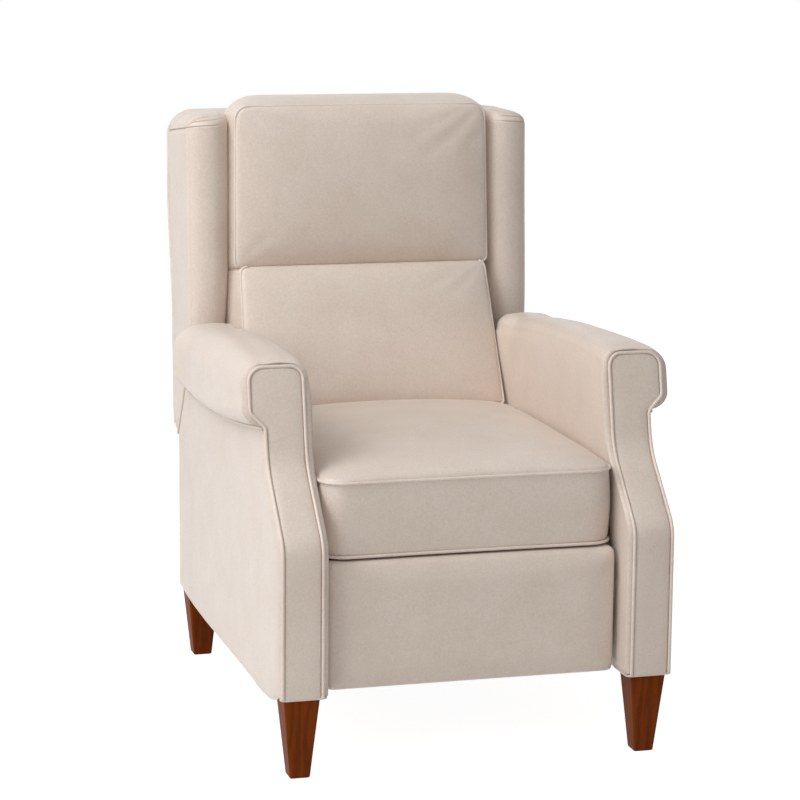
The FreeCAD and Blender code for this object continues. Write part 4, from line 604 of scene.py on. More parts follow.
def arm_section(share, ring_share):
    """Section of the arm's cover at shares of its length, one row of (across, up) for each.

    Up the inner side, round the inner corner, over the top, round the roll, under it by a quarter
    ellipse to the fold, and back inside against the board.
    """
    share = np.asarray(share, float)
    columns = [eased(share, ARM_STATIONS[:, 0], ARM_STATIONS[:, k])[..., None] for k in range(1, 6)]
    overhang, fold_share, fall, swell, rounding = columns
    outer = ARM_OUTER + ROLL_OVERHANG * overhang
    fold = FOLD[0] + (FOLD[1] - FOLD[0]) * fold_share
    top = ARM_TOP - ARM_TOP_FALL * fall
    inner = ARM_INNER - ARM_SWELL * swell
    round_in, round_out = ROLL_RADII[0] + 0 * outer, ROLL_RADII[1] * rounding
    under = np.maximum(fold + 6, np.minimum(fold + UNDER_RISE, top - round_out - 4))
    # beside the front panel the underside is nearly the panel's slant, farther back a round
    slant = 1 + 0.7 * ramp(share, SLANTED_SHARE, 0)[..., None]

    def line(start, end, count):
        start, end = start + 0 * outer, end + 0 * outer
        return start + (end - start) * np.linspace(0, 1, count, endpoint=False)

    quarter = np.linspace(0, math.pi / 2, 12, endpoint=False)
    hollow = np.linspace(0, math.pi / 2, 14, endpoint=False)
    cut = ramp(np.asarray(ring_share)[..., None], *LINING_CUT)
    low = LINING_FOOT + (LINING_LOW - LINING_FOOT) * cut * cut * (3 - 2 * cut)
    side_share = ramp(line(low, top - round_in, 26), LINING_LOW, ARM_TOP)
    swelling = LINING_SWELL * np.sin(math.pi * side_share ** 2.2)
    arch = np.sin(np.linspace(0, math.pi, 16, endpoint=False))
    crown = ramp(share[..., None], 0, CROWNED_SHARE) * ARM_CROWN * arch
    lining = ARM_INNER + LINING_THICKNESS
    hidden = ((ARM_OUTER, fold), (BOARD_OUTER, fold), (BOARD_OUTER, BOARD_CEILING),
              (lining, BOARD_CEILING), (lining, low), (inner, low))
    stretches = (
        (line(inner, inner, 26) - swelling, line(low, top - round_in, 26)),
        (inner + round_in * (1 - np.cos(quarter)), top - round_in + round_in * np.sin(quarter)),
        (line(inner + round_in, outer - round_out, 16), line(top, top, 16) + crown),
        (outer - round_out + round_out * np.sin(quarter),
         top - round_out + round_out * np.cos(quarter)),
        (line(outer, outer, 8), line(top - round_out, under, 8)),
        (ARM_OUTER + (outer - ARM_OUTER) * np.cos(hollow) ** slant,
         under - (under - fold) * np.sin(hollow) ** slant),
        *([line(*ends, count) for ends in zip(here, there)]
          for here, there, count in zip(hidden, hidden[1:], HIDDEN_STEPS)),
    )
    return [np.concatenate(row, axis=-1) for row in zip(*stretches)]


def section_at(along, ring_share):
    """Each column of the section taken at its own share of the length, column by column."""
    across, upward = np.empty_like(along), np.empty_like(along)
    for column in range(along.shape[1]):
        x, z = arm_section(along[:, column], ring_share)
        across[:, column], upward[:, column] = x[:, column], z[:, column]
    return across, upward


def arm_cover(sign):
    """The cover's surface: sections whose depth starts on the S-curve at each point's own height."""
    share = np.concatenate([np.linspace(0, 0.02, 6), np.linspace(0.03, 0.97, ARM_ROWS),
                            1 - 0.03 * np.linspace(0.9, 0, 10) ** 2])
    count = arm_section([0.0], [0.0])[0].shape[-1]
    back = np.repeat((share * ARM_LENGTH)[:, None], count, axis=1)
    for _ in range(16):
        across, upward = section_at(np.clip(back / ARM_LENGTH, 0, 1), share)
        front = arm_front_back(upward) + ARM_SKIN_START
        back = 0.5 * back + 0.5 * (front + (ARM_LENGTH - front) * share[:, None])
    # over the front edge the cover falls to the piping
    near = 1 - ramp(back - front, 0, NOSE_LENGTH)
    held = 1 - 0.5 * ramp(across, *NOSE_OUTSIDE)
    upward = upward - NOSE_FALL * held * near ** 2 * ramp(upward, *NOSE_HEIGHTS)
    # both ends are drawn in towards the middle of the roll
    nose = NOSE_DRAW * ramp(share, 0.012, 0)[:, None] ** 2
    rear = REAR_DRAW * ramp(share, 0.975, 1)[:, None] ** 2
    pull = (nose + rear) / 60.0
    across = across - (across - ROLL_MIDDLE[0]) * pull
    upward = upward - (upward - ROLL_MIDDLE[1]) * pull
    # the cover's raw front edge is folded in behind the front panel, down to a thin line
    over = np.maximum(upward[:1] - ROLL_MIDDLE[1], 0)
    folds = [(FOLDED_EDGE + (across[:1] - FOLDED_EDGE) * keep, back[:1] + 5 * (1 - keep),
              upward[:1] - 0.1 * (1 - keep) * over) for keep in FOLDED_SHARES]
    across, back, upward = (np.concatenate(row) for row in zip(*folds, (across, back, upward)))
    return spots(sign * across, back, upward)


def fold_height(back):
    """Height of the fold under the roll at a depth."""
    share = eased(back / ARM_LENGTH, ARM_STATIONS[:, 0], ARM_STATIONS[:, 2])
    return FOLD[0] + (FOLD[1] - FOLD[0]) * share


for side, sign in SIDES:
    leather_piece(f"{side}_arm_cover", *tube(arm_cover(sign)), "base", [f"{side}_arm_pad"], 0.85)

# Side panels: leather over thin foam on the outside of each arm board, from the fold under the
# roll to a turned hem over the legs. A welt closes the slope at the rear.
HEM_LINE = np.array([(0, 144), (16, 143), (30, 139.5), (44, 134.5), (60, 129.5), (76, 126),
                     (96, 123.5), (130, 121.5), (160, 121), (200, 122.5), (300, 124), (600, 124),
                     (700, 126), (780, 130), (848, 138)])
BASE_DEPTH = 848
NOTCH = 432
PANEL_THICKNESS = 16
PANEL_SWELL = 6.0
PANEL_EASE = 9.0


def side_panel(sign):
    """Panel between hem and fold, front curve and rear edge, on a grid of two shares.

    Its outer face swells by one minus an exponential of the distance from its rim, the rim turns
    in by a quarter ellipse, and the rear edge follows the upright and the slope behind the arm.
    """
    v, u = end_weighted(90)[:, None], end_weighted(130)
    back = u * BASE_DEPTH
    for _ in range(8):
        low = np.interp(back, HEM_LINE[:, 0], HEM_LINE[:, 1])
        high = np.where(back < ARM_LENGTH, fold_height(np.minimum(back, ARM_LENGTH)),
                        np.interp(back, (ARM_LENGTH, BASE_DEPTH), (FOLD[0], NOTCH)))
        level = low + (high - low) * v
        front = arm_front_back(level) + ARM_SKIN_START
        back = front + (BASE_DEPTH - front) * u
    rim = nearest(level - low, high - level, back - front, BASE_DEPTH - back)
    outer = ARM_OUTER + PANEL_SWELL * (1 - np.exp(-rim / PANEL_EASE)) - rim_drop(rim, 4.0, 3.5)
    inner = ARM_OUTER - PANEL_THICKNESS
    return slab(spots(sign * outer, back, level), spots(sign * inner, back, level))


FOLD_WELT = (4.4, -2.8)     # out of the arm board's outside, and up from the fold
SLOPE_WELT_OUT = 4.2
# depth and height of the leather that closes the rear of an arm, from the notch up into the roll
ARM_REAR = ((BASE_DEPTH - 2, NOTCH + 4), (ARM_LENGTH - 1, FOLD[0] + 2), (ARM_LENGTH - 4, 602))
for side, sign in SIDES:
    leather_piece(f"{side}_side_panel_leather", *side_panel(sign), "base",
                  [f"{side}_side_panel"], 0.9)
    back = np.linspace(arm_front_back(FOLD[1]) + 2, ARM_LENGTH, 120)
    fold_path = spots(sign * (ARM_OUTER + FOLD_WELT[0]), back, fold_height(back) + FOLD_WELT[1])
    welt(f"{side}_fold_welt", fold_path, 3.2, "base")
    slope_path = [(sign * (ARM_OUTER + SLOPE_WELT_OUT), *end)
                  for end in ((ARM_LENGTH + 1, FOLD[0] + 2), (BASE_DEPTH - 3, NOTCH + 5))]
    welt(f"{side}_slope_welt", resampled(slope_path, 30, False), 2.6, "base")
    back, level = resampled(ARM_REAR, 60, False).T[..., None]
    across = sign * (ARM_INNER + 1 + (ARM_OUTER + 1 - ARM_INNER) * np.linspace(0, 1, 24))
    closing = spots(across, back, level)
    leather_piece(f"{side}_arm_rear_closing", *slab(closing, closing - (0, 2.2, 1.2)), "base")
    back, level = resampled(HEM_LINE, 260, False)[8:].T
    welt(f"{side}_hem_roll", spots(sign * (ARM_OUTER + 0.4), back, level + 1.4), 2.0, "base")

# Cushions: boxed leather covers over foam, welted at their seams. Pressure swells each cover
# while its seams and the face that it rests on hold still.
RING_POINTS = 320
CROWN_RINGS = 22
HELD_WITHIN = 5.0
CLOTH_FRAMES = 20
CLOTH = {"vertex_group_mass": "held", "quality": 4, "mass": 0.35, "tension_stiffness": 22,
         "compression_stiffness": 22, "shear_stiffness": 12, "bending_stiffness": 3,
         "use_pressure": True}


def bake_modifiers(piece):
    """Keep the mesh that the piece's modifiers give, and drop the modifiers."""
    graph = bpy.context.evaluated_depsgraph_get()
    made = bpy.data.meshes.new_from_object(piece.evaluated_get(graph))
    piece.modifiers.clear()
    piece.data = made


def coordinates(mesh):
    """The mesh's points as an array."""
    places = np.empty(len(mesh.vertices) * 3, np.float64)
    mesh.vertices.foreach_get("co", places)
    return places.reshape(-1, 3)


def distance_to(places, line):
    """Distance from each place to the nearest point of a line, in slices to save room."""
    parts = [np.sqrt(((part[:, None] - line[None]) ** 2).sum(-1).min(1))
             for part in np.array_split(places, max(1, len(places) // 2000))]
    return np.concatenate(parts)


def stuff(piece, seams, resting, step, cap, pressure):
    """Swell a closed cover by cloth pressure, with its seams and resting face pinned.

    The mesh is first made again as even quads of a step. seams are closed lines in millimetres
    and resting tells which places, in millimetres, stay. No point moves further than the cap.
    """
    remesh = piece.modifiers.new("even_quads", "REMESH")
    remesh.mode = "VOXEL"
    remesh.voxel_size = step * MM
    remesh.adaptivity = 0
    bake_modifiers(piece)
    start = coordinates(piece.data)
    chair = start / MM + (0, ARM_FRONT, 0)
    near = distance_to(chair, np.concatenate([resampled(seam, 700) for seam in seams]))
    held = np.flatnonzero((near < HELD_WITHIN) | resting(chair))
    piece.vertex_groups.new(name="held").add(held.tolist(), 1.0, "REPLACE")
    cloth = piece.modifiers.new("stuffing", "CLOTH")
    for name, value in CLOTH.items():
        setattr(cloth.settings, name, value)
    cloth.settings.uniform_pressure_force = pressure
    cloth.settings.effector_weights.gravity = 0
    cloth.collision_settings.use_collision = False
    cloth.point_cache.frame_start = 1
    cloth.point_cache.frame_end = CLOTH_FRAMES
    for number in range(1, CLOTH_FRAMES + 1):
        scene.frame_set(number)
    bake_modifiers(piece)
    scene.frame_set(1)
    moved = coordinates(piece.data) - start
    far = np.linalg.norm(moved, axis=1)[:, None]
    places = start + moved * np.minimum(1, cap * MM / np.maximum(far, 1e-9))
    piece.data.vertices.foreach_set("co", places.ravel())
    piece.vertex_groups.clear()
    even = piece.modifiers.new("even", "SMOOTH")
    even.factor = 0.5
    even.iterations = 6
    bake_modifiers(piece)
    piece.data.shade_smooth()
    finer = piece.modifiers.new("finer", "SUBSURF")
    finer.levels = finer.render_levels = 1


def ring_outline(low, along, shape, inset, draw=0.0, count=RING_POINTS):
    """Rounded outline in the plane of across and along, drawn in by an inset, its sides hollowed
    between the corners by a cosine of the draw.

    shape is half the width at the low and the high end, the length, and the two corner radii.
    """
    half_low, half_high, length, radii = shape
    most = min((min(half_low, half_high) - inset) * 0.98, (length - 2 * inset) * 0.49)
    radii = [max(3.0, min(r, most)) for r in radii]
    ring = rounded_outline(half_low - inset, half_high - inset, length - 2 * inset, *radii, count)
    middle = (length - 2 * inset) / 2
    across_share = np.clip(np.abs(ring[:, 0]) / (half_low - inset), 0, 1)
    along_share = np.clip(np.abs(ring[:, 1] - middle) / middle, 0, 1)
    hollow_sides = draw * np.cos(along_share * math.pi / 2)
    hollow_ends = draw * np.cos(across_share * math.pi / 2)
    across = ring[:, 0] - np.sign(ring[:, 0]) * hollow_sides * across_share ** 4
    length_way = ring[:, 1] - np.sign(ring[:, 1] - middle) * hollow_ends * along_share ** 4 + inset
    return low[None] + np.outer(across, (1, 0, 0)) + np.outer(length_way, along)


def reach_of(shape):
    """How far an outline of a shape can be drawn in."""
    return min(*shape[:2], shape[2] / 2) - 6


def crown_rings(low, along, outward, shape, crown, draw, power=3.4):
    """Rings from a cushion's seam over its crowned face: the rise at each point is the crown times
    the root of the product of one minus each of its two shares, across and along, to a power."""
    half_low, half_high, length = shape[:3]
    reach = reach_of(shape)
    insets = reach * (1 - np.cos(np.linspace(0, math.pi / 2, CROWN_RINGS))) ** 1.15
    rings = []
    for inset in insets[1:]:
        ring = ring_outline(low, along, shape, inset, draw * (1 - inset / reach))
        far = (ring - low) @ along / length
        x = np.abs(ring[:, 0]) / (half_low + (half_high - half_low) * far)
        y = np.abs(2 * far - 1)
        full = np.clip(1 - x ** power, 0, 1) * np.clip(1 - y ** power, 0, 1)
        rings.append(ring + crown * np.sqrt(full)[:, None] * outward[None])
    return rings


def flat_rings(low, along, shape):
    """Rings from the middle of a cushion's resting face out to its edge."""
    insets = np.linspace(reach_of(shape), 0, 7)[:-1]
    return [ring_outline(low, along, shape, inset) for inset in insets]


# Seat cushion: boxed, with a welt round its top edge and another round its bottom edge. It lies
# loose on the spring deck between the arms.
SEAT_FRONT = 54
SEAT_LOW = 369
SEAT_HIGH = 500
SEAT_CROWN = 43.0
SEAT_SHAPE = (262, 262, 631, (44, 30))
SEAT_SEAM_DRAW = 3.0
BACKWARD = np.array([0.0, 1.0, 0.0])
UPWARD = np.array([0.0, 0.0, 1.0])


def seat_ring(height, inset=1.0, draw=SEAT_SEAM_DRAW):
    """Outline of the seat cushion at a height."""
    return ring_outline(np.array([0.0, SEAT_FRONT, height]), BACKWARD, SEAT_SHAPE, inset, draw)


seat_rings = flat_rings(np.array([0.0, SEAT_FRONT, SEAT_LOW]), BACKWARD, SEAT_SHAPE)
for share in np.linspace(0, 1, 16):
    seat_rings.append(seat_ring(SEAT_LOW + (SEAT_HIGH - SEAT_LOW) * share,
                                2.0 - 3.0 * math.sin(math.pi * share), SEAT_SEAM_DRAW * 0.6))
seat_rings += crown_rings(np.array([0.0, SEAT_FRONT, SEAT_HIGH]), BACKWARD, UPWARD, SEAT_SHAPE,
                          SEAT_CROWN, SEAT_SEAM_DRAW, 2.2)
seat = leather_piece("seat_cushion_cover", *tube(seat_rings), "seat", ["seat_cushion"])
top_seam, low_seam = seat_ring(SEAT_HIGH), seat_ring(SEAT_LOW)
stuff(seat, [top_seam, low_seam], lambda at: at[:, 2] < SEAT_LOW + 8, 6.0, 10.0, 3.0)
welt("seat_top_piping", top_seam - (0, 0, 2.0), 2.9, "seat", ["seat_cushion_welts"], True)
welt("seat_bottom_piping", low_seam + (0, 0, 1.6), 2.9, "seat", closed=True)

# Back cushions: the lumbar cushion tapers up under a fuller head cushion. Both are boxed and rest
# on the springs of the back. The head's front seam is welted up its sides and over its top, the
# lumbar's up its sides, and the two meet in a plain crease.
LEAN = math.radians(12)
HEAD_WELTS = {"head_piping": (0.152, 0.848)}
LUMBAR_WELTS = {"right_lumbar_piping": (0.155, 0.352), "left_lumbar_piping": (0.648, 0.845)}


def back_cushion(node, front, rear, halves, rear_halves, radii, rear_radii, crown, rise, bulge,
                 welts):
    """A boxed cushion: rings from its rear plane to its front seam, then its crowned front.

    front and rear are pairs of (back, up) for the low and high edges of the two planes. Each welt
    runs from one share of the seam to another; the seam itself starts in the middle of its foot.
    """
    places = [np.array([0.0, *place]) for place in (*front, *rear)]
    front_low, front_high, rear_low, rear_high = places
    rings = []
    for share in np.linspace(0, 1, 16):
        low = rear_low + (front_low - rear_low) * share
        high = rear_high + (front_high - rear_high) * share
        high = high + UPWARD * rise * math.sin(math.pi * share)
        length = np.linalg.norm(high - low)
        along = (high - low) / length
        shape = (*(a + (b - a) * share ** 2 for a, b in zip(rear_halves, halves)), length,
                 [a + (b - a) * share for a, b in zip(rear_radii, radii)])
        if share == 0:
            rings += flat_rings(low, along, shape)
        rings.append(ring_outline(low, along, shape, 0.8 - bulge * math.sin(math.pi * share)))
    outward = np.cross(along, (1, 0, 0))
    outward *= -1 if outward[1] > 0 else 1
    shape = (*halves, length, radii)
    rings += crown_rings(front_low, along, outward, shape, crown, 0.0)
    piece = leather_piece(node + "_cover", *tube(rings), "back", [node])
    seam = ring_outline(front_low, along, shape, 1.0)
    lean = (rear_high[1] - rear_low[1]) / (rear_high[2] - rear_low[2])

    def resting(at):
        return at[:, 1] > rear_low[1] + (at[:, 2] - rear_low[2]) * lean - 8

    stuff(piece, [seam], resting, 5.5, 8.0, 3.0)
    path = resampled(seam, 600)
    replaced = [node + "_welt"]
    for name, (start, end) in welts.items():
        row = path[int(600 * start):int(600 * end)]
        welt(name, row - outward * 1.2, 2.4, "back", replaced)
        replaced = []


back_cushion("lumbar_cushion", ((666, 502), (774, 769)), ((855.9, 518.0), (902.7, 738.0)),
             (255, 244), (258, 268), (6, 12), (12, 8), 21.0, 0, 4.5, LUMBAR_WELTS)
back_cushion("head_cushion", ((783, 764), (799, 1072)), ((902.9, 739.0), (932, 1076)),
             (252, 248), (264, 262), (8, 24), (8, 104), 21.84, 8, 5.0, HEAD_WELTS)

# Wings: a foam roll down the front of each wing board under a leather cover that is gathered in
# pleats at the top corner, with a plain leather panel outside.
WING_OUTER = 336
WING_HEIGHTS = np.array([556.0, 720.0, 900.0, 1028.0])
WING_SEAMS = np.array([802.0, 803.0, 815.0, 821.0])
WING_INNERS = np.array([273.0, 262.0, 257.0, 257.0])
WING_ROLL = 24
WING_RECESS = 45
WING_LOW = 432
WING_TOP = 1057
WING_SEAM_HEIGHT = 1031
WING_SEAM_FALL = 20
WING_SEAM_REAR = 992
WING_INNER_SWELL = 4.5
WING_CORNER = 52
WING_REAR = 932
WING_CAP_REAR = 996
WING_CAP_STEP = 6.0
WING_STEP_DEPTHS = (905, 929)
WING_BOARD_LINE = (385, 827.7)     # a height, and the board's rear edge there
PLEATS = (4.0, 14.0, 20.0)
PLEAT_DEPTH = 2.6
PLEAT_WIDTH = 0.9


def wing_cover(sign):
    """Rings of the wing's cover by height: round the front roll, back along the inner side, and
    forward inside the outer panel, or outside it above the panel's seam. Above the seam the rings
    draw in by a quarter circle, and grooves along rising lines make the pleats."""
    rise = np.sin(np.linspace(0, math.pi / 2, 60))
    heights = np.concatenate([np.linspace(WING_HEIGHTS[0], WING_SEAM_HEIGHT - 12, 60),
                              np.linspace(WING_SEAM_HEIGHT - 11, WING_SEAM_HEIGHT, 22),
                              [WING_SEAM_HEIGHT + 0.2],
                              WING_SEAM_HEIGHT + (WING_TOP - WING_SEAM_HEIGHT) * rise[1:]])[:, None]
    above = heights > WING_SEAM_HEIGHT
    cap = ramp(heights, WING_SEAM_HEIGHT, WING_TOP)
    draw = WING_CORNER * (1 - np.sqrt(1 - np.minimum(cap, 0.9995) ** 2))
    seam = eased(heights, WING_HEIGHTS, WING_SEAMS)
    inner = np.interp(heights, WING_HEIGHTS, WING_INNERS) + 0.22 * draw - WING_INNER_SWELL
    outer = WING_OUTER - draw
    front = seam - WING_ROLL + 0.8 * draw
    seam = np.maximum(seam, front + 6)
    hidden = np.where(above, outer, WING_OUTER - 15)
    board = WING_BOARD_LINE[1] + (heights - WING_BOARD_LINE[0]) * math.tan(LEAN)
    rear = np.where(above, WING_CAP_REAR, np.minimum(WING_REAR, board))
    middle = (inner + outer) / 2
    turn = np.linspace(0, math.pi / 2, 40)[None, :-1]
    back_turn = np.linspace(0, math.pi / 2, 34)[None]
    share = np.linspace(0, 1, 16)[None]
    flat = inner + WING_INNER_SWELL
    recess = front + WING_RECESS
    stretches = (
        (middle + (outer - middle) * np.cos(turn), seam - (seam - front) * np.sin(turn)),
        (middle - (middle - inner) * np.sin(back_turn),
         front + WING_RECESS * (1 - np.cos(back_turn))),
        (flat + 0 * share[:, 1:], recess + (rear - recess) * share[:, 1:]),
        (flat + (hidden - flat) * share[:, 1::3], rear + 0 * share[:, 1::3]),
        (hidden + 0 * share[:, 1:-1], rear + (seam + 1.5 - rear) * share[:, 1:-1]),
    )
    across, depth = (np.concatenate(row, axis=1) for row in zip(*stretches))
    level = np.repeat(heights, across.shape[1], axis=1)
    fall = WING_SEAM_FALL * ramp(heights, WING_SEAM_HEIGHT - 60, WING_SEAM_HEIGHT) * (1 - cap)
    level = level - fall * ramp(depth, seam, WING_SEAM_REAR)
    level = level - WING_CAP_STEP * cap * ramp(depth, *WING_STEP_DEPTHS)
    over = np.concatenate([np.linspace(0, 1, 39), 1 + np.linspace(0, 1, 34)])
    groove = np.zeros_like(over + heights)
    for rise in PLEATS:
        line = WING_SEAM_HEIGHT - 3 + rise * (1 - np.exp(-over * 5.0)) + 3 * over
        deep = PLEAT_DEPTH * ramp(over, 1.5, 0.9)
        groove += deep * np.exp(-((heights - line) / PLEAT_WIDTH) ** 2)
    # the last ring closes on its own middle line, so that the top stays smooth
    last = across[-1:]
    closed = [last.mean() + (last - last.mean()) * keep for keep in (0.5, 0.02)]
    across = np.concatenate([across, *closed])
    depth, level = (np.concatenate([grid, grid[-1:], grid[-1:]]) for grid in (depth, level))
    groove = np.concatenate([groove, 0 * groove[:2]])
    across[:, :len(over)] -= groove * np.concatenate([np.cos(turn), -np.sin(back_turn)], axis=1)
    depth[:, :len(over)] -= groove * np.concatenate([-np.sin(turn), -np.cos(back_turn)], axis=1)
    return spots(sign * across, depth, level)


# height and depth along the front and the rear edge of a wing's outer panel
WING_FRONT_LINE = np.array([(432, 858), (436, 855), (550, 783), (556, 802), (720, 803),
                            (900, 815), (1028, 821)])
WING_REAR_LINE = np.array([(432, 904), (435, 922), (440, 934), (448, 942), (462, 948),
                           (490, 952), (560, 956), (679, 957), (872, 994), (1012, 998)])
WING_PANEL_THICKNESS = 14


def wing_panel(sign):
    """Outer panel of a wing between its front and rear lines. Its face is crowned by a sine and
    turned in at its rim by a quarter ellipse, and its top edge falls in a line to the rear."""
    v, u = np.linspace(0, 1, 110)[:, None] ** 1.5, end_weighted(40)
    level = WING_LOW + (WING_SEAM_HEIGHT - WING_LOW) * v
    front, rear = (np.interp(level, *line.T) for line in (WING_FRONT_LINE, WING_REAR_LINE))
    back = front + (rear - front) * u
    fall = WING_SEAM_FALL * (back - WING_SEAMS[-1]) / (WING_SEAM_REAR - WING_SEAMS[-1])
    high = WING_SEAM_HEIGHT - fall
    level = WING_LOW + (high - WING_LOW) * v
    rim = nearest(back - front, rear - back, level - WING_LOW, high - level)
    outer = WING_OUTER - rim_drop(rim, 5.0, 3.5) + 1.5 * np.sin(math.pi * u) ** 0.7
    inner = WING_OUTER - WING_PANEL_THICKNESS
    return slab(spots(sign * outer, back, level), spots(sign * inner, back, level))


# a thin strip of leather binds the edge of the wing board behind the arm: depth and height along
# it, the direction out of it, and where it lies across the board
BINDING_LINE = ((862, 434), (784, 550), (800, 557))
BINDING_OUT = np.array([-0.83, -0.56])
BINDING_ACROSS = (297, 328)
for side, sign in SIDES:
    leather_piece(f"{side}_wing_cover", *tube(wing_cover(sign)), "back", [f"{side}_wing_pad"], 0.85)
    leather_piece(f"{side}_wing_side_panel_leather", *wing_panel(sign), "back",
                  [f"{side}_wing_side_panel"], 0.9)
    rise = np.linspace(WING_HEIGHTS[0] + 2, WING_SEAM_HEIGHT - 1, 160)
    seam_path = spots(sign * (WING_OUTER - 1.2), eased(rise, WING_HEIGHTS, WING_SEAMS) - 0.5, rise)
    welt(f"{side}_wing_front_seam", seam_path, 2.4, "back")
    back, level = resampled(BINDING_LINE, 60, False).T[..., None]
    share = np.linspace(0, 1, 12)
    proud = 0.5 + 2.0 * np.sqrt(1 - (2 * share - 1) ** 2)
    across = sign * (BINDING_ACROSS[0] + (BINDING_ACROSS[1] - BINDING_ACROSS[0]) * share)
    binding = spots(across, back + BINDING_OUT[0] * proud, level + BINDING_OUT[1] * proud)
    under = spots(across, back + 0.8, level + 0.6)
    leather_piece(f"{side}_wing_edge_binding", *slab(binding, under), "back")

# Outside of the back: one leather panel on board, hooked over the top rail and closed with a welt
# down each side.
SHELL_PROFILE = np.array([(905, 432), (922, 424), (943, 426), (952, 436), (958, 480), (967, 679),
                          (1007, 872), (1007, 1018), (1003, 1034), (992, 1046), (977, 1052),
                          (932, 1053), (885, 1044)])
SHELL_HALF = 336
SHELL_THICKNESS = 12


def softened(points, count, window):
    """A polyline divided into equal steps, each point the mean of its neighbours in a window."""
    path = resampled(points, count, False)
    wide = np.pad(path, ((window // 2, window // 2), (0, 0)), mode="reflect", reflect_type="odd")
    kernel = np.ones(window) / window
    return np.stack([np.convolve(wide[:, k], kernel, "valid") for k in range(2)], axis=1)


SHELL_PATH = softened(SHELL_PROFILE, 330, 7)


def shell_half(height):
    """Half the width of the outside back at a height: its top corners are quarter circles."""
    corner = np.clip((height - (WING_TOP - WING_CORNER)) / WING_CORNER, 0, 0.999)
    return SHELL_HALF - WING_CORNER * (1 - np.sqrt(1 - corner ** 2))


def outside_back():
    """A profile carried across the chair, its corners rounded at the top and its face crowned."""
    ahead = np.gradient(SHELL_PATH, axis=0)
    ahead /= np.linalg.norm(ahead, axis=1)[:, None]
    (back, level), (ahead_back, ahead_up) = SHELL_PATH.T[..., None], ahead.T[..., None]
    share = np.sin(np.linspace(-math.pi / 2, math.pi / 2, 90))
    half = shell_half(level)
    across = half * share
    proud = 3.0 * np.cos(share * math.pi / 2) ** 0.6 - rim_drop(half - np.abs(across), 7.0, 5.0, 1)
    outer = spots(across, back + ahead_up * proud, level - ahead_back * proud)
    inner = spots(across, back - ahead_up * SHELL_THICKNESS, level + ahead_back * SHELL_THICKNESS)
    return np.concatenate([outer, inner[:, ::-1]], axis=1)


leather_piece("outside_back_leather", *tube(outside_back()), "back", ["outside_back_panel"], 0.9)
for side, sign in SIDES:
    back, level = SHELL_PATH[(SHELL_PATH[:, 0] > 951) & (SHELL_PATH[:, 1] < 1030)].T
    # the piping's end is tucked under the flap
    tuck = ramp(level, 1004, 1030) ** 2
    path = spots(sign * (shell_half(level) - 1.5 - 7 * tuck), back - 2.0 - 5 * tuck, level)
    welt(f"{side}_outside_back_piping", path, 3.3, "back")

# Back of the base: leather glued over board and tacked to the rear rail, between the side panels.
# It closes the base below the outside back, and shows from behind only.
BASE_BACK_DEPTHS = (836, 848)
BASE_BACK_LOW, BASE_BACK_HIGH = 153, 385
level = (BASE_BACK_LOW + (BASE_BACK_HIGH - BASE_BACK_LOW) * end_weighted(40))[:, None]
across = (2 * end_weighted(90) - 1) * BOARD_OUTER
rim = nearest(level - BASE_BACK_LOW, BASE_BACK_HIGH - level, BOARD_OUTER - np.abs(across))
face = spots(across, BASE_BACK_DEPTHS[1] - rim_drop(rim, 6.0, 5), level)
leather_piece("base_back_leather", *slab(face, spots(across, BASE_BACK_DEPTHS[0], level)), "base",
              ["base_back_panel"], 0.9)

# Footrest: leather over foam, pulled round a plywood board and stapled behind it. It is bolted to
# the brackets of the linkage, and hangs flush below the seat when it is closed.
FOOT_SIDES = (260, 260, 225, (6, 6))
FOOT_FACE = (260, 260, 225, (8, 8))
FOOT_PLACE = np.array([0.0, 81.0, 140.0])     # the middle of its low edge, at its rear
FOOT_STRAIGHT = 26                            # how far its sides run forward before they round
FOOT_ROUND = 16
FOOT_FORWARD = 42.5


def foot_ring(forward, inset, shape):
    """Outline of the footrest's cover at a distance in front of its rear."""
    return ring_outline(FOOT_PLACE - forward * BACKWARD, UPWARD, shape, inset)


foot_rings = flat_rings(FOOT_PLACE, UPWARD, FOOT_SIDES)
foot_rings += [foot_ring(FOOT_STRAIGHT * share, 0.4, FOOT_SIDES) for share in np.linspace(0, 1, 8)]
foot_rings += [foot_ring(FOOT_STRAIGHT + FOOT_ROUND * math.sin(angle),
                         0.4 + 15 * (1 - math.cos(angle)), FOOT_FACE)
               for angle in np.linspace(0, math.pi / 2, 8)[1:]]
foot_rings += [foot_ring(FOOT_FORWARD + min(1, inset / 60), inset, FOOT_FACE)
               for inset in np.linspace(22, reach_of(FOOT_FACE), 9)]
foot = leather_piece("footrest_cover", *tube(foot_rings), "footrest", ["footrest_pad"])
stuff(foot, [foot_ring(10, 0.0, FOOT_SIDES)], lambda at: at[:, 1] > FOOT_PLACE[1] - 27,
      5.0, 4.0, 1.0)

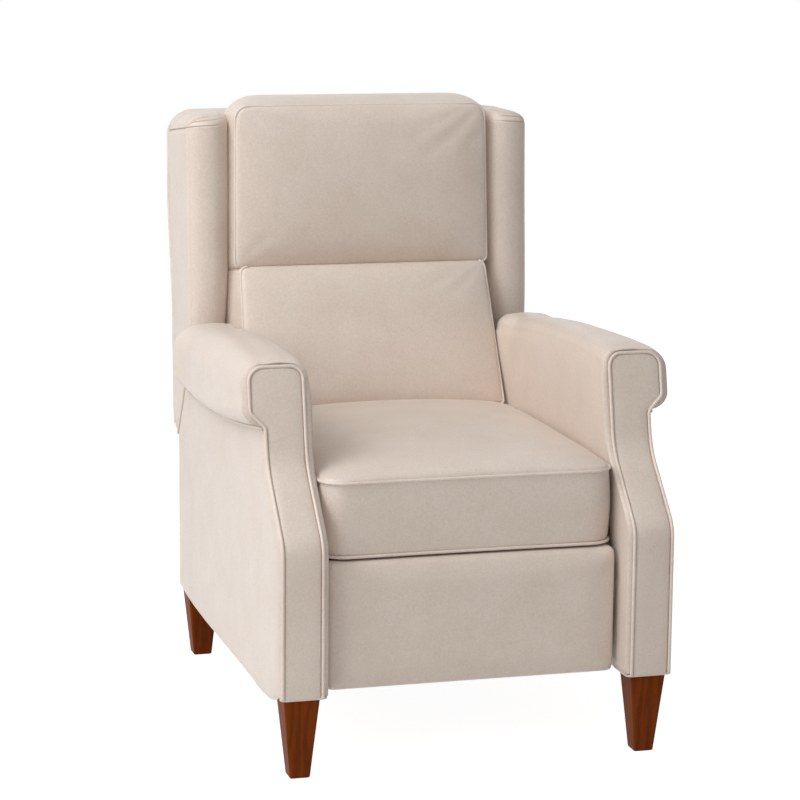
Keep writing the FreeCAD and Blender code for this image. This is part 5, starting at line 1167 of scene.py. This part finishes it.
# Spring deck: a felted pad in a dark woven cover, laid over the springs and tacked to the seat
# rails. The seat cushion lies loose on it.
DECK_SHAPE = (248, 248, 584, (8, 8))
DECK_FRONT = 86
DECK_LEVELS = ((360, 3), (362, 0), (367, 0), (369, 3), (369, 60))     # height, inset of each ring
THREAD_MM = 3.0
deck_cloth, tree, shader, place = new_material("woven_deck_cloth")
threads = {"Vector": place, "Scale": 1000 / THREAD_MM / 6.28, "Distortion": 0.4}
warp, weft = (add_node(tree, "TexWave", threads, wave_type="BANDS", bands_direction=way)
              for way in "XY")
weave = add_node(tree, "Math", {0: warp.outputs["Fac"], 1: weft.outputs["Fac"]},
                 operation="MAXIMUM").outputs[0]
set_inputs(shader, {"Base Color": two_tones(tree, weave, linear("#2B2A29"), linear("#4A4846")),
                    "Normal": bumped(tree, weave, 0.5, 0.0005), "Roughness": 0.9})
deck_rings = [ring_outline(np.array([0.0, DECK_FRONT, height]), BACKWARD, DECK_SHAPE, inset,
                           count=160) for height, inset in DECK_LEVELS]
deck = make_piece("spring_deck_pad", *tube(deck_rings), deck_cloth, "deck_cloth", "seat",
                  ["seat_deck"])


# Frame and mechanism: the CAD's own meshes in hardwood, plywood, zinc-plated plate, blued spring
# wire and plated fixings.
def worked_metal(name, colour, roughness, streak):
    """Metal with fine drawn streaks and a mottled plated surface."""
    material, tree, shader, place = new_material(name)
    stretched = add_node(tree, "Mapping", {"Vector": place, "Scale": streak})
    lines = noise(tree, stretched.outputs[0], 700.0, 3.0)["Fac"]
    spangle = add_node(tree, "TexVoronoi", {"Vector": place, "Scale": 160.0})
    share = mixed_share(tree, 0.35, lines, spangle.outputs["Distance"])
    light = linear(colour)
    dark = (*(0.78 * value for value in light[:3]), 1)
    set_inputs(shader, {"Base Color": two_tones(tree, share, dark, light),
                        "Roughness": spread(tree, share, roughness - 0.08, roughness + 0.1),
                        "Normal": bumped(tree, lines, 0.1, 0.0002), "Metallic": 1.0})
    return material


FINISHES = {
    "hardwood": stained_wood("planed_hardwood", "#C49A66", "#9A6C3C", 9.0, 0.6),
    "plywood": stained_wood("birch_plywood", "#D2B283", "#B58E5B", 14.0, 0.62),
    "zinc_steel": worked_metal("zinc_plated_plate", "#B9BBBC", 0.38, (1, 8, 1)),
    "spring_wire": worked_metal("blued_spring_wire", "#4C5056", 0.4, (8, 1, 1)),
    "fixing_steel": worked_metal("plated_fixing_steel", "#C2BEB4", 0.32, (1, 1, 8)),
}
for entry in frame["record"]["subparts"]:
    if entry["material_slot"] in FINISHES:
        materials = frame["nodes"][entry["node"]].data.materials
        materials.clear()
        materials.append(FINISHES[entry["material_slot"]])
